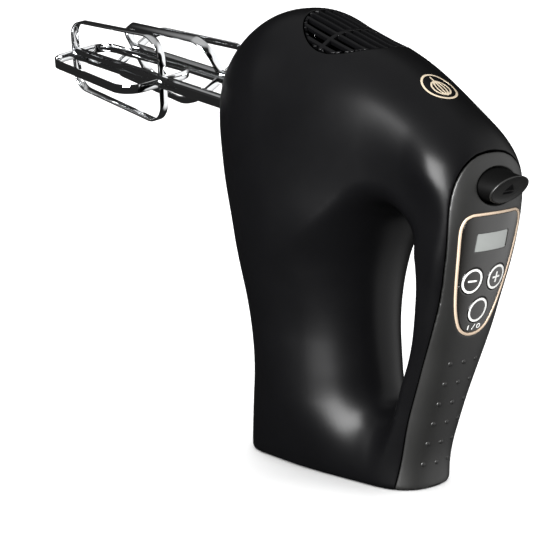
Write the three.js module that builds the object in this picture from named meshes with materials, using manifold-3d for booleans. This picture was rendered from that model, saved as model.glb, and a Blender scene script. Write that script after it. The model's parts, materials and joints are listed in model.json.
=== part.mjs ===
// Hand mixer standing on the heel of its handle, with two beaters fitted. Millimetres, +Z up.
// Origin: centre of the heel face. The beaters point to -X, the grip and its controls face +X,
// and the object is symmetric about the plane y = 0 apart from the controls and the gear phases.

import * as THREE from 'three';
import { mergeVertices } from 'three/addons/utils/BufferGeometryUtils.js';
import Module from 'manifold-3d';

const wasm = await Module();
wasm.setup();

// ---------------------------------------------------------------- driving dimensions

const lerp = (a, b, t) => a + (b - a) * t;

const GAP = 0.3; // between neighbouring fixed pieces
const WALL = 2.5; // housing wall
const PANEL_T = 1.2; // control panel thickness
const RECESS = 1.6; // depth of the seat that holds the panel
const ROUND = 20; // sides of a turned piece

// Side outline of the body and of the finger opening, as closed smooth curves in X and Z.
const BODY_OUTLINE = [
  [46, -14], [44.8, 0], [45.8, 14], [51.6, 34], [59.2, 58], [66.5, 82], [72.2, 104], [76.6, 126],
  [77.6, 144], [70.6, 158.5], [54, 172.6], [24, 191], [-6, 202.4], [-36, 210.8], [-57, 203.2],
  [-73, 184], [-79.5, 160], [-77.5, 132], [-69, 104], [-62.5, 76], [-60, 48], [-62, 22],
  [-64, 0], [-64, -14],
];
const FINGER_OUTLINE = [
  [27, 35], [33.5, 45], [39.5, 58], [44, 72], [46.8, 86], [48, 99], [46.5, 111], [41, 121],
  [32, 126.5], [23, 123], [15.8, 107], [11.5, 91], [10.2, 78], [10.4, 64], [11.9, 50],
  [14, 38.5], [19.5, 33],
];
const ROUNDING_POWER = 2.3;

// Facets of the body surface: heights and widths of the layers, and how they divide X between
// the two parting lines and beyond them.
const evenly = (from, to, parts) =>
  Array.from({ length: parts }, (_, i) => lerp(from, to, i / parts));
const FACET_Z = [...evenly(-30, 30, 5), ...evenly(30, 66, 4), ...evenly(66, 235, 13)];
const FACET_SIDE = [4, 11, 16.5, 24, 34, 46, 58];
const FACET_Y = [...FACET_SIDE.map((y) => -y).reverse(), ...FACET_SIDE];
const FACET_BEHIND = [42, 31, 20, 10];
const FACET_BETWEEN = [0, 0.1, 0.2, 0.3, 0.4, 0.49, 0.58, 0.66, 0.74, 0.82, 0.9, 1];
const FACET_GRIP = 5;

// Parting lines of the body, from the heel up, as X for a given Z.
const GRIP_SEAM = [[30, -20], [36, 0], [43, 32], [51, 56], [59.5, 78], [65, 97], [68.3, 115],
  [70, 133], [71.6, 145], [73, 160], [75, 175]];
const COVER_SEAM = [[-53, -20], [-53, 0], [-51, 40], [-54, 76], [-60, 104], [-67.5, 130],
  [-70.5, 152], [-69, 170], [-64, 186], [-56, 200], [-48, 216]];

// Drive frame: u runs up the motor shaft, y across, w out along the beaters.
const DRIVE_TILT = THREE.MathUtils.degToRad(7.8);
const DRIVE_CENTRE = [-18, 0, 156.8];
const SPINDLE_Y = 19.4;

// Worm drive: one thread turns both gears, one each side of it.
const GEAR_TEETH = 30;
const GEAR_PITCH_R = 14.4;
const GEAR_TIP_R = 15.2;
const GEAR_ROOT_R = 13.3;
const GEAR_FACE = 6;
const WORM_CORE_R = 3.8;
const WORM_TIP_R = 5.9;
const WORM_PITCH_R = SPINDLE_Y - GEAR_PITCH_R;
const WORM_LEAD = 2 * Math.PI * GEAR_PITCH_R / GEAR_TEETH;
const WORM_TURNS = 5;
const WORM_HALF = 16; // half length of the worm's core
const TOOTH_HALF_TIP = 0.35;
const TOOTH_HALF_ROOT = 0.85;
const HUB_R = 5;
const HUB_BORE_R = 3.5;
const HUB_BACK = -10;
const HUB_FRONT = 52;

// Gearbox plates and posts, along w.
const BACK_PLATE_W = [-14, -11];
const FRONT_PLATE_W = [14, 17];
const POST = { u: 20, y: 13, r: 3 };

// Motor: everything on the shaft, along u.
const MOTOR_SHAFT_R = 2.5;
const SHAFT_U = [-107, 26];
const STACK = [-74, -52]; // the laminations
const STACK_HALF_Y = 22;
const STACK_HALF_W = 23;
const ROTOR_R = 13.8;
const STATOR_BORE_R = 14.4;
const COIL = { inY: 13, outY: 18, inW: 15.6, outW: 20, over: 5 };
const FAN_BLADES = 9;
const FAN_U = [-45.6, -34];
const BUSH_R = 5;
const BRACKET_LEG_Y = [20.2, 22.6];
const BRACKET_LEG_HALF_W = 6;
const BRUSH = { halfY: 3, u: [-90, -83.5], tip: 8, tail: 16 };

// Beaters: a shaft and two crossed strip loops.
const SHAFT_R = 3.4;
const SHAFT_BACK = -6.5;
const LOOP_START = 106.6;
const LOOP_LENGTH = 72.4;
const LOOP_CROSSING = 1.2;
const LOOP_R_NEAR = 22;
const LOOP_R_FAR = 18.3;
const STRIP_T = 0.9;
const STRIP_W = 4.7;
const LEFT_TURN = THREE.MathUtils.degToRad(-10);
const RIGHT_TURN = THREE.MathUtils.degToRad(45 + 10);

// Ejector, along the middle of the drive frame. It travels 8 mm forward.
const EJECT_FACE_W = -103.2;
const EJECT_INNER_W = -78;
const EJECT_U = -3;
const EJECT_HALF_U = 6.8;
const EJECT_HALF_Y = 11.2;
const EJECT_SLANT = Math.tan(THREE.MathUtils.degToRad(25.8)); // its face leans out at the top
const EJECT_PIN_R = 2.2;
const YOKE_W = -34;
const SPRING_COIL_R = 5;

// Controls on the grip face. The panel outline is its bottom point and one side, as [y, z].
const FACE_SLOPE = 0.27; // X gained for each Z along the panel
const FACE_X = 67.05; // X of the face at the height of the power key
const FACE_SPAN = [58, 95]; // reaches the grip face and no other wall
const PANEL_BOTTOM = 73.6;
const PANEL_SIDE = [[4.7, 74.4], [9, 77.3], [12.1, 82.5], [14.6, 90], [16.8, 101], [18.5, 114],
  [19.1, 121.5], [18.9, 125], [17.6, 127.8], [15.2, 129.4], [12, 130]];
const TRIM_W = 1.5;
const KEY_R = 6.1;
const KEY_Y = 7.6;
const KEY_Z = 99.7;
const POWER_Z = 85.7;
const KEY_DEPTH = 3.2;
const LCD = { z: 116.6, halfY: 9.7, halfZ: 4 };

// Vent grille, an oval in plan on top of the nose.
const VENT = { x: -8.5, halfX: 22.5, halfY: 24.5, slots: 4, pitch: 4.9, slot: 3, rim: 1.6, rib: 1.8 };

// Cover screws as [y, z], and the cord inlet.
const SCREW_R = 1.5;
const SCREW_HEAD_R = 3.1;
const SCREW_SEAT = 2.6; // from the head's underside to the parting line
const SCREW_PLACES = [[15, 22], [-15, 22], [17, 112], [-17, 112]];
const INLET = { r: 5, z: 14, x: -64 };

// ---------------------------------------------------------------- materials

const finish = (color, roughness, metalness) =>
  new THREE.MeshStandardMaterial({ color, roughness, metalness });
const LOOKS = {
  black: finish(0x0b0b0c, 0.38, 0),
  grip: finish(0x2b2b29, 0.62, 0),
  panel: finish(0x1b1917, 0.18, 0),
  trim: finish(0xd9a98a, 0.25, 1),
  lens: finish(0x8d9190, 0.12, 0),
  chrome: finish(0xe6e8ea, 0.08, 1),
  steel: finish(0x9a9da1, 0.35, 1),
  lamination: finish(0x55585c, 0.5, 0.8),
  copper: finish(0xb36a35, 0.35, 1),
  bronze: finish(0xa07a45, 0.4, 1),
  nylon: finish(0xd8d4c4, 0.55, 0),
  bakelite: finish(0x3a2418, 0.55, 0),
  carbon: finish(0x1c1c1e, 0.7, 0),
  board: finish(0x1f5a3a, 0.5, 0),
  rubber: finish(0x111111, 0.8, 0),
};

// ---------------------------------------------------------------- solids

/** A closed geometry as a solid, wound outward. */
function solid(geometry) {
  let g = geometry.clone();
  g.deleteAttribute('normal');
  g.deleteAttribute('uv');
  g = mergeVertices(g, 1e-4);
  const verts = Float32Array.from(g.attributes.position.array);
  const tris = Uint32Array.from(g.index.array);
  const p = (i) => new THREE.Vector3().fromArray(verts, 3 * i);
  let volume = 0;
  for (let i = 0; i < tris.length; i += 3) {
    volume += p(tris[i]).dot(p(tris[i + 1]).cross(p(tris[i + 2])));
  }
  if (volume < 0) tris.reverse();
  return new wasm.Manifold(new wasm.Mesh({ numProp: 3, vertProperties: verts, triVerts: tris }));
}

const object = new THREE.Group();
const drive = new THREE.Group();
const driveBasis = new THREE.Matrix4().makeBasis(
  new THREE.Vector3(Math.sin(DRIVE_TILT), 0, Math.cos(DRIVE_TILT)),
  new THREE.Vector3(0, 1, 0),
  new THREE.Vector3(-Math.cos(DRIVE_TILT), 0, Math.sin(DRIVE_TILT)),
).setPosition(...DRIVE_CENTRE);
driveBasis.decompose(drive.position, drive.quaternion, drive.scale);
object.add(drive);

/** Adds a solid to a group as a named mesh. */
function add(group, name, body, look) {
  const mesh = body.getMesh();
  const g = new THREE.BufferGeometry();
  g.setAttribute('position', new THREE.BufferAttribute(mesh.vertProperties, 3));
  g.setIndex(new THREE.BufferAttribute(mesh.triVerts, 1));
  g.computeVertexNormals();
  const piece = new THREE.Mesh(g, LOOKS[look]);
  piece.name = name;
  group.add(piece);
}

const union = (...bodies) => bodies.reduce((a, b) => a.add(b));
const shapeOf = (points) => new THREE.Shape(points.map(([a, b]) => new THREE.Vector2(a, b)));
const extrude = (points, depth, steps = 1) =>
  new THREE.ExtrudeGeometry(shapeOf(points), { depth, steps, bevelEnabled: false });

/** Prisms of an outline: alongY takes (x, z) points, alongZ (x, y) and alongX (y, z). */
const alongY = (points, y0, y1) =>
  extrude(points, y1 - y0).rotateX(Math.PI / 2).translate(0, y1, 0);
const alongZ = (points, z0, z1) => extrude(points, z1 - z0).translate(0, 0, z0);
const alongX = (points, x0, x1) =>
  extrude(points, x1 - x0).rotateY(Math.PI / 2).rotateX(Math.PI / 2).translate(x0, 0, 0);

function box(x0, x1, y0, y1, z0, z1) {
  const g = new THREE.BoxGeometry(x1 - x0, y1 - y0, z1 - z0);
  return g.translate((x0 + x1) / 2, (y0 + y1) / 2, (z0 + z1) / 2);
}

/** A turned piece about +Z from [radius, z] points; a first radius above 0 closes on itself. */
function turned(profile, sides = ROUND) {
  const closed = profile[0][0] > 0 ? [...profile, profile[0]] : profile;
  const points = closed.map(([r, z]) => new THREE.Vector2(r, z));
  return new THREE.LatheGeometry(points, sides).rotateX(Math.PI / 2);
}
const rod = (r, z0, z1, sides = ROUND) => turned([[0, z0], [r, z0], [r, z1], [0, z1]], sides);
const ring = (r0, r1, z0, z1, sides = ROUND) =>
  turned([[r0, z0], [r1, z0], [r1, z1], [r0, z1]], sides);

/** Turns a piece made about +Z so that it lies about +X, the motor shaft of the drive frame. */
const ontoShaft = (g) => g.rotateY(Math.PI / 2);

/** A helical bar about +Z. section holds [radius, height] points. */
function helix(section, turns, lead, stepsPerTurn) {
  const g = extrude(section, 1, Math.round(turns * stepsPerTurn));
  const p = g.attributes.position;
  for (let i = 0; i < p.count; i += 1) {
    const angle = 2 * Math.PI * turns * (p.getZ(i) - 0.5);
    const radius = p.getX(i);
    const height = p.getY(i) + lead * angle / (2 * Math.PI);
    p.setXYZ(i, radius * Math.cos(angle), radius * Math.sin(angle), height);
  }
  return g;
}

/** Points round an oval with half widths ra and rb, centred at (ca, cb). */
const oval = (ra, rb, sides, ca = 0, cb = 0) => Array.from({ length: sides }, (_, i) => {
  const a = 2 * Math.PI * (i + 0.5) / sides;
  return [ca + ra * Math.cos(a), cb + rb * Math.sin(a)];
});
const circle = (r, sides, ca = 0, cb = 0) => oval(r, r, sides, ca, cb);

// ---------------------------------------------------------------- moulded body surface

const clamp = (v) => Math.min(Math.max(v, 0), 1);

function smooth(a, b, v) {
  const t = clamp((v - a) / (b - a));
  return t * t * (3 - 2 * t);
}

/** Points along a closed smooth curve through the given ones. */
function closedCurve(points, perSpan = 8) {
  const out = [];
  const n = points.length;
  for (let i = 0; i < n; i += 1) {
    const [p0, p1, p2, p3] = [-1, 0, 1, 2].map((k) => points[(i + k + n) % n]);
    for (let k = 0; k < perSpan; k += 1) {
      const t = k / perSpan;
      out.push([0, 1].map((a) => 0.5 * (2 * p1[a] + (p2[a] - p0[a]) * t
        + (2 * p0[a] - 5 * p1[a] + 4 * p2[a] - p3[a]) * t * t
        + (3 * p1[a] - p0[a] - 3 * p2[a] + p3[a]) * t * t * t)));
    }
  }
  return out;
}

/** Distance inside a closed polygon, negative outside it. */
function depthInside(polygon, x, z) {
  let nearest = Infinity;
  let inside = false;
  for (let i = 0; i < polygon.length; i += 1) {
    const [ax, az] = polygon[i];
    const [bx, bz] = polygon[(i + 1) % polygon.length];
    const [ex, ez] = [bx - ax, bz - az];
    const t = clamp(((x - ax) * ex + (z - az) * ez) / (ex * ex + ez * ez));
    nearest = Math.min(nearest, Math.hypot(x - ax - t * ex, z - az - t * ez));
    if ((az > z) !== (bz > z) && x < ax + (z - az) / ez * ex) inside = !inside;
  }
  return inside ? nearest : -nearest;
}

const bodyCurve = closedCurve(BODY_OUTLINE);
const fingerCurve = closedCurve(FINGER_OUTLINE);

/** Half thickness at (x, z), and how deep the outer and opening edges are rounded there. */
function section(x, z) {
  const top = smooth(125, 182, z);
  const front = lerp(24, 45, smooth(-20, 110, z));
  const beside = lerp(lerp(25, 33, smooth(-12, 34, z)), 45, smooth(62, 132, z));
  const column = lerp(lerp(front, beside, smooth(-48, -12, x)), 38, smooth(90, 190, z));
  const strip = 1.9 * smooth(46, 64, x) * smooth(84, 114, z) * (1 - smooth(150, 182, z));
  const handle = lerp(lerp(19, 23, smooth(10, 110, z)), 36, top) + strip;
  const nose = smooth(20, 80, -x) * smooth(120, 200, z);
  const half = lerp(lerp(column, handle, smooth(-30, 66, x)), 46, nose);
  const sides = lerp(55 * lerp(0.45, 1, smooth(0, 80, z)), 11, smooth(25, 62, x));
  const grip = smooth(22, 42, x) * (1 - smooth(108, 135, z));
  const finger = lerp(lerp(36, 15, smooth(96, 132, z)), 6.5, grip);
  return { half, edge: lerp(sides, 46, top), finger };
}

/** Body surface as a level: below 0 inside, 0 on the surface, above 0 outside. */
function bodyLevel(x, y, z) {
  const { half, edge, finger } = section(x, z);
  const fromEdge = Math.max(1 - depthInside(bodyCurve, x, z) / edge, 0);
  const fromFinger = Math.max(1 + depthInside(fingerCurve, x, z) / finger, 0);
  const across = Math.abs(y) / half;
  const sum = [fromEdge, fromFinger, across].reduce((s, v) => s + v ** ROUNDING_POWER, 0);
  return sum ** (1 / ROUNDING_POWER) - 1;
}

function bodySlope(p) {
  const h = 0.05;
  const step = (dx, dy, dz) => bodyLevel(p[0] + dx, p[1] + dy, p[2] + dz)
    - bodyLevel(p[0] - dx, p[1] - dy, p[2] - dz);
  return [step(h, 0, 0), step(0, h, 0), step(0, 0, h)].map((v) => v / (2 * h));
}

/** X of a parting line at height z. */
function seamX(seam, z) {
  const height = Math.min(Math.max(z, seam[0][1]), seam.at(-1)[1] - 0.001);
  const i = seam.findIndex(([, top]) => top > height);
  const [[x0, z0], [x1, z1]] = [seam[i - 1], seam[i]];
  return lerp(x0, x1, (height - z0) / (z1 - z0));
}

/** X of each sheet that divides the body into facets: the sheets follow both parting lines. */
function facetSheets(z) {
  const [back, front] = [seamX(COVER_SEAM, z) + 5, seamX(GRIP_SEAM, z) - FACET_GRIP / 2];
  return [...FACET_BEHIND.map((x) => back - x), ...FACET_BETWEEN.map((t) => lerp(back, front, t)),
    ...Array.from({ length: 6 }, (_, i) => front + (i + 1) * FACET_GRIP)];
}

/** Faceted body surface: one vertex in each cell the surface crosses, drawn onto the surface. */
function bodyFacets() {
  const sheets = FACET_Z.map(facetSheets);
  const count = [sheets[0].length, FACET_Y.length, FACET_Z.length];
  const at = (i, j, k) => (i * count[1] + j) * count[2] + k;
  const corner = (i, j, k) => [sheets[k][i], FACET_Y[j], FACET_Z[k]];
  const level = new Float64Array(count[0] * count[1] * count[2]);
  const eachCell = (visit) => {
    for (let i = 0; i < count[0] - 1; i += 1) {
      for (let j = 0; j < count[1] - 1; j += 1) {
        for (let k = 0; k < count[2] - 1; k += 1) visit(i, j, k);
      }
    }
  };
  for (let i = 0; i < count[0]; i += 1) {
    for (let j = 0; j < count[1]; j += 1) {
      for (let k = 0; k < count[2]; k += 1) level[at(i, j, k)] = bodyLevel(...corner(i, j, k));
    }
  }
  const vertexOf = new Map();
  const vertices = [];
  const units = [[1, 0, 0], [0, 1, 0], [0, 0, 1]];
  eachCell((i, j, k) => {
    const crossings = [];
    units.forEach((unit, axis) => {
      for (const [a, b] of [[0, 0], [1, 0], [0, 1], [1, 1]]) {
        const start = [a, b];
        start.splice(axis, 0, 0);
        const p = [i + start[0], j + start[1], k + start[2]];
        const q = p.map((v, n) => v + unit[n]);
        const [lp, lq] = [level[at(...p)], level[at(...q)]];
        if ((lp < 0) !== (lq < 0)) {
          const end = corner(...q);
          crossings.push(corner(...p).map((v, n) => lerp(v, end[n], lp / (lp - lq))));
        }
      }
    });
    if (crossings.length === 0) return;
    let p = [0, 1, 2].map((n) => crossings.reduce((s, c) => s + c[n], 0) / crossings.length);
    for (let pass = 0; pass < 5; pass += 1) {
      const slope = bodySlope(p);
      const move = bodyLevel(...p) / (slope[0] ** 2 + slope[1] ** 2 + slope[2] ** 2);
      p = p.map((v, n) => v - Math.max(-3, Math.min(3, move * slope[n])));
    }
    vertexOf.set(at(i, j, k), vertices.length);
    vertices.push(p);
  });
  const quads = [];
  for (let i = 1; i < count[0] - 1; i += 1) {
    for (let j = 1; j < count[1] - 1; j += 1) {
      for (let k = 1; k < count[2] - 1; k += 1) {
        units.forEach((unit, axis) => {
          const inside = level[at(i, j, k)] < 0;
          if (inside === (level[at(i + unit[0], j + unit[1], k + unit[2])] < 0)) return;
          const [b, c] = [units[(axis + 1) % 3], units[(axis + 2) % 3]];
          const cell = (m, n) =>
            vertexOf.get(at(...[i, j, k].map((v, a) => v - m * b[a] - n * c[a])));
          const around = [cell(1, 1), cell(0, 1), cell(0, 0), cell(1, 0)];
          quads.push(inside ? around : around.reverse());
        });
      }
    }
  }
  return { vertices, quads };
}

const facets = bodyFacets();
const outwards = facets.vertices.map((p) => {
  const slope = bodySlope(p);
  const length = Math.hypot(...slope);
  return slope.map((v) => v / length);
});

/** The body as a solid, drawn in by a depth along its own surface normals. */
function bodySolid(depth) {
  const positions = facets.vertices.flatMap((p, i) => p.map((v, n) => v - depth * outwards[i][n]));
  const index = [];
  const at = facets.vertices;
  const away = (a, b) => Math.hypot(...at[a].map((v, n) => v - at[b][n]));
  for (const [a, b, c, d] of facets.quads) {
    if (away(a, c) <= away(b, d)) index.push(a, b, c, a, c, d);
    else index.push(a, b, d, b, c, d);
  }
  const g = new THREE.BufferGeometry();
  g.setAttribute('position', new THREE.Float32BufferAttribute(positions, 3));
  g.setIndex(index);
  return solid(g);
}

// ---------------------------------------------------------------- housing, covers and grip

const aboveHeel = (height) => solid(box(-150, 150, -80, 80, height, 260));
const outer = bodySolid(0).intersect(aboveHeel(0));
const inner = bodySolid(WALL).intersect(aboveHeel(WALL));
const shell = outer.subtract(inner);

/** Everything on one side of a parting line; side is +1 for +X or -1 for -X. */
function beyondSeam(seam, side, shift) {
  const far = side * 150;
  const line = seam.map(([x, z]) => [x + shift, z]);
  return solid(alongY([...line, [far, line.at(-1)[1]], [far, line[0][1]]], -80, 80));
}

/** Cutter for a round or oval hole about the w axis of the drive frame. */
function driveHole(outline, w0, w1) {
  return solid(alongZ(outline, w0, w1).applyMatrix4(driveBasis));
}

const ventOutline = (inset) => oval(VENT.halfX - inset, VENT.halfY - inset, 28, VENT.x);

/** Turns a piece made about +Z so that it points to +X, and puts its base at (x, y, z). */
const toGrip = (g, x, y, z) => g.rotateY(Math.PI / 2).translate(x, y, z);

// Four screws hold the underside cover: each sits in a well of the cover and bites into a boss
// of the housing, which a web ties to the side wall.
const SCREWS = SCREW_PLACES.map(([y, z]) => [seamX(COVER_SEAM, z), y, z]);

function bossAndWeb([x, y, z]) {
  const outside = Math.sign(y) * 60;
  const web = box(x + 1, x + 14, Math.min(y, outside), Math.max(y, outside), z - 1, z + 1);
  return union(solid(toGrip(rod(4, -6, 11, 12), x, y, z)), solid(web));
}

function upperHousing() {
  const bosses = union(...SCREWS.map(bossAndWeb)).intersect(outer);
  const pilots = union(...SCREWS.map(([x, y, z]) =>
    solid(toGrip(rod(SCREW_R + 0.2, -20, 9.5, 12), x, y, z))));
  const vent = solid(alongZ(ventOutline(0), 150, 240));
  return shell.add(bosses).subtract(pilots).subtract(vent)
    .subtract(beyondSeam(GRIP_SEAM, 1, -GAP / 2))
    .subtract(beyondSeam(COVER_SEAM, -1, GAP / 2));
}

function undersideCover() {
  const side = beyondSeam(COVER_SEAM, -1, -GAP / 2);
  const wells = union(...SCREWS.map(([x, y, z]) => solid(toGrip(rod(5.2, -40, 5, 12), x, y, z))));
  const holes = SCREWS.flatMap(([x, y, z]) => [
    solid(toGrip(rod(SCREW_HEAD_R + GAP, -50, -SCREW_SEAT, 12), x, y, z)),
    solid(toGrip(rod(SCREW_R + GAP, -50, 10, 12), x, y, z)),
  ]);
  const spindles = [-SPINDLE_Y, SPINDLE_Y].map((y) => driveHole(circle(6.2, 20, 0, y), 30, 90));
  const inlet = solid(toGrip(rod(INLET.r + GAP, -20, 20, 16), INLET.x, 0, INLET.z));
  return shell.add(wells.intersect(outer)).intersect(side)
    .subtract(union(...holes, ...spindles, inlet));
}

/** A closed outline moved outward by a distance, or inward when it is negative. */
function grown(points, distance) {
  const n = points.length;
  const normal = (a, b) => {
    const length = Math.hypot(b[0] - a[0], b[1] - a[1]);
    return [(b[1] - a[1]) / length, (a[0] - b[0]) / length];
  };
  return points.map((p, i) => {
    const before = normal(points[(i + n - 1) % n], p);
    const after = normal(p, points[(i + 1) % n]);
    const k = distance / (1 + before[0] * after[0] + before[1] * after[1]);
    return [p[0] + k * (before[0] + after[0]), p[1] + k * (before[1] + after[1])];
  });
}

const panelPoints = [[0, PANEL_BOTTOM], ...PANEL_SIDE,
  ...PANEL_SIDE.map(([y, z]) => [-y, z]).reverse()];
const panelOutline = (inset) => grown(panelPoints, -inset);

const panelLayer = outer.subtract(bodySolid(PANEL_T));
const onPanel = (outline, layer) => layer.intersect(solid(alongX(outline, ...FACE_SPAN)));
const lcdOutline = (grow) => [[-1, -1], [1, -1], [1, 1], [-1, 1]]
  .map(([a, b]) => [a * (LCD.halfY + grow), LCD.z + b * (LCD.halfZ + grow)]);

/** Places a piece made about +Z so that its axis is the grip face normal at height z. */
function onFace(g, y, z) {
  const x = FACE_X + FACE_SLOPE * (z - POWER_Z);
  return g.rotateY(Math.PI / 2 + Math.atan(FACE_SLOPE)).translate(x, y, z);
}
const KEYS = [
  ['button_minus', -KEY_Y, KEY_Z],
  ['button_plus', KEY_Y, KEY_Z],
  ['button_power', 0, POWER_Z],
];
const keyHoles = union(...KEYS.map(([, y, z]) => solid(onFace(rod(KEY_R + GAP, -12, 12), y, z))));

function gripCover() {
  const recess = solid(alongX(panelOutline(-GAP), ...FACE_SPAN)).subtract(bodySolid(RECESS));
  const hole = oval(EJECT_HALF_U + 0.9, EJECT_HALF_Y + 0.9, 28, EJECT_U, 0);
  const button = driveHole(hole, -130, -60);
  return shell.intersect(beyondSeam(GRIP_SEAM, 1, GAP / 2))
    .subtract(recess).subtract(button).subtract(keyHoles);
}

add(object, 'upper_housing', upperHousing(), 'black');
add(object, 'underside_cover', undersideCover(), 'black');
add(object, 'grip_cover', gripCover(), 'grip');

SCREWS.forEach(([x, y, z], i) => {
  const screw = turned([[0, -1.9], [2.4, -1.9], [SCREW_HEAD_R, -1.3], [SCREW_HEAD_R, 0.3],
    [SCREW_R, 0.3], [SCREW_R, 10], [0, 11]], 12);
  const body = solid(toGrip(screw, x - SCREW_SEAT - 0.6, y, z));
  add(object, `cover_screw_${i + 1}`, body, 'steel');
});

function ventGrille() {
  const plate = shell.intersect(solid(alongZ(ventOutline(GAP), 150, 240)));
  const cutters = [];
  for (let k = -VENT.slots; k <= VENT.slots; k += 1) {
    const y = k * VENT.pitch;
    const far = (Math.abs(y) + VENT.slot / 2) / (VENT.halfY - VENT.rim);
    const reach = (VENT.halfX - VENT.rim) * Math.sqrt(1 - far ** 2);
    for (const side of [-1, 1]) {
      const [a, b] = [VENT.x + side * VENT.rib / 2, VENT.x + side * reach];
      if (Math.abs(b - a) > 2) {
        const [x0, x1] = [Math.min(a, b), Math.max(a, b)];
        cutters.push(solid(box(x0, x1, y - VENT.slot / 2, y + VENT.slot / 2, 150, 240)));
      }
    }
  }
  return plate.subtract(union(...cutters));
}
add(object, 'vent_grille', ventGrille(), 'black');

function cordGland() {
  const tube = turned([[2.6, -3], [4, -3], [INLET.r, 0], [INLET.r, 5], [6.6, 5], [6.6, 7],
    [2.6, 7]], 16);
  return solid(toGrip(tube, INLET.x, 0, INLET.z));
}
add(object, 'cord_gland', cordGland(), 'rubber');

// ---------------------------------------------------------------- controls

const trimRing = onPanel(panelOutline(0), panelLayer)
  .subtract(solid(alongX(panelOutline(TRIM_W), ...FACE_SPAN)));
add(object, 'panel_trim', trimRing, 'trim');
const panelPlate = onPanel(panelOutline(TRIM_W + GAP), panelLayer)
  .subtract(solid(alongX(lcdOutline(GAP), ...FACE_SPAN))).subtract(keyHoles);
add(object, 'control_panel', panelPlate, 'panel');
add(object, 'lcd_display', onPanel(lcdOutline(0), panelLayer), 'lens');

for (const [name, y, z] of KEYS) {
  const cap = solid(onFace(rod(KEY_R, -KEY_DEPTH, 8), y, z)).intersect(outer);
  add(object, name, cap, 'panel');
}

const board = alongX([[-13, 76], [13, 76], [15, 82], [15, 124], [-15, 124], [-15, 82]], -0.8, 0.8)
  .translate(0, 0, -100).rotateY(Math.atan(FACE_SLOPE)).translate(63, 0, 100);
add(object, 'control_pcb', solid(board), 'board');

// ---------------------------------------------------------------- gears and worm

const helixPerMm = WORM_LEAD / (2 * Math.PI * WORM_PITCH_R);

/** Gear with a long hollow hub along w at y. phase is where one tooth's middle lies. */
function driveGear(y, phase) {
  const outline = [];
  for (let i = 0; i < GEAR_TEETH; i += 1) {
    const middle = phase + 2 * Math.PI * i / GEAR_TEETH;
    for (const [r, half] of [[GEAR_ROOT_R, -TOOTH_HALF_ROOT], [GEAR_TIP_R, -TOOTH_HALF_TIP],
      [GEAR_TIP_R, TOOTH_HALF_TIP], [GEAR_ROOT_R, TOOTH_HALF_ROOT]]) {
      const a = middle + half / r;
      outline.push([r * Math.cos(a), r * Math.sin(a)]);
    }
  }
  const teeth = alongZ(outline, -GEAR_FACE / 2, GEAR_FACE / 2);
  const p = teeth.attributes.position;
  for (let i = 0; i < p.count; i += 1) {
    const turn = helixPerMm * p.getZ(i) / GEAR_PITCH_R;
    const [x, y] = [p.getX(i), p.getY(i)];
    p.setXY(i, x * Math.cos(turn) - y * Math.sin(turn), x * Math.sin(turn) + y * Math.cos(turn));
  }
  const hub = rod(HUB_R, HUB_BACK, HUB_FRONT);
  const bore = rod(HUB_BORE_R, HUB_BACK - 1, HUB_FRONT + 1);
  const [blank, core, hole] = [teeth, hub, bore].map((g) => solid(g.translate(0, y, 0)));
  return blank.add(core).subtract(hole);
}

// The thread faces the right gear at u = 0, so that gear has a tooth space there and the left
// gear, half a lead away, has a tooth.
const GEARS = [['left', -1, Math.PI / 2], ['right', 1, -Math.PI / 2 + Math.PI / GEAR_TEETH]];
for (const [side, sign, phase] of GEARS) {
  add(drive, `drive_gear_${side}`, driveGear(sign * SPINDLE_Y, phase), 'nylon');
}

/** Motor shaft along u with the worm thread on it, its ridge at u = 0 on the +y side. */
function armatureShaft() {
  const thread = helix([[WORM_CORE_R - 0.4, -TOOTH_HALF_ROOT], [WORM_TIP_R, -TOOTH_HALF_TIP],
    [WORM_TIP_R, TOOTH_HALF_TIP], [WORM_CORE_R - 0.4, TOOTH_HALF_ROOT]], WORM_TURNS, WORM_LEAD, 12);
  const worm = solid(ontoShaft(thread.rotateZ(Math.PI / 2)));
  const core = solid(ontoShaft(rod(WORM_CORE_R, -WORM_HALF, WORM_HALF, 12)));
  return union(solid(ontoShaft(rod(MOTOR_SHAFT_R, ...SHAFT_U, 12))), core, worm);
}
add(drive, 'armature_shaft', armatureShaft(), 'steel');

// ---------------------------------------------------------------- motor

/** A block between u, y and w limits. */
const block = (u, y, w) => solid(box(u[0], u[1], y[0], y[1], w[0], w[1]));
const both = [-1, 1];
const span = (sign, a, b) => [Math.min(sign * a, sign * b), Math.max(sign * a, sign * b)];

function statorCore() {
  const corner = 6;
  const [y, w] = [STACK_HALF_Y, STACK_HALF_W];
  const outline = [[-w + corner, -y], [w - corner, -y], [w, -y + corner], [w, y - corner],
    [w - corner, y], [-w + corner, y], [-w, y - corner], [-w, -y + corner]];
  let core = solid(ontoShaft(alongZ(outline, STACK[0], STACK[1])));
  core = core.subtract(solid(ontoShaft(rod(STATOR_BORE_R, -80, -40))));
  for (const a of both) {
    for (const b of both) {
      const slotY = span(a, COIL.inY - GAP, COIL.outY + GAP);
      const slotW = span(b, COIL.inW - GAP, COIL.outW + GAP);
      core = core.subtract(block([-80, -40], slotY, slotW));
    }
  }
  return core;
}
add(drive, 'stator_core', statorCore(), 'lamination');

for (const [name, sign] of [['field_coil_front', 1], ['field_coil_back', -1]]) {
  const w = span(sign, COIL.inW, COIL.outW);
  const u = [STACK[0] - COIL.over, STACK[1] + COIL.over];
  const window = [STACK[0] - GAP, STACK[1] + GAP];
  const coil = block(u, [-COIL.outY, COIL.outY], w)
    .subtract(block(window, [-COIL.inY, COIL.inY], [w[0] - 1, w[1] + 1]));
  add(drive, name, coil, 'copper');
}

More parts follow.
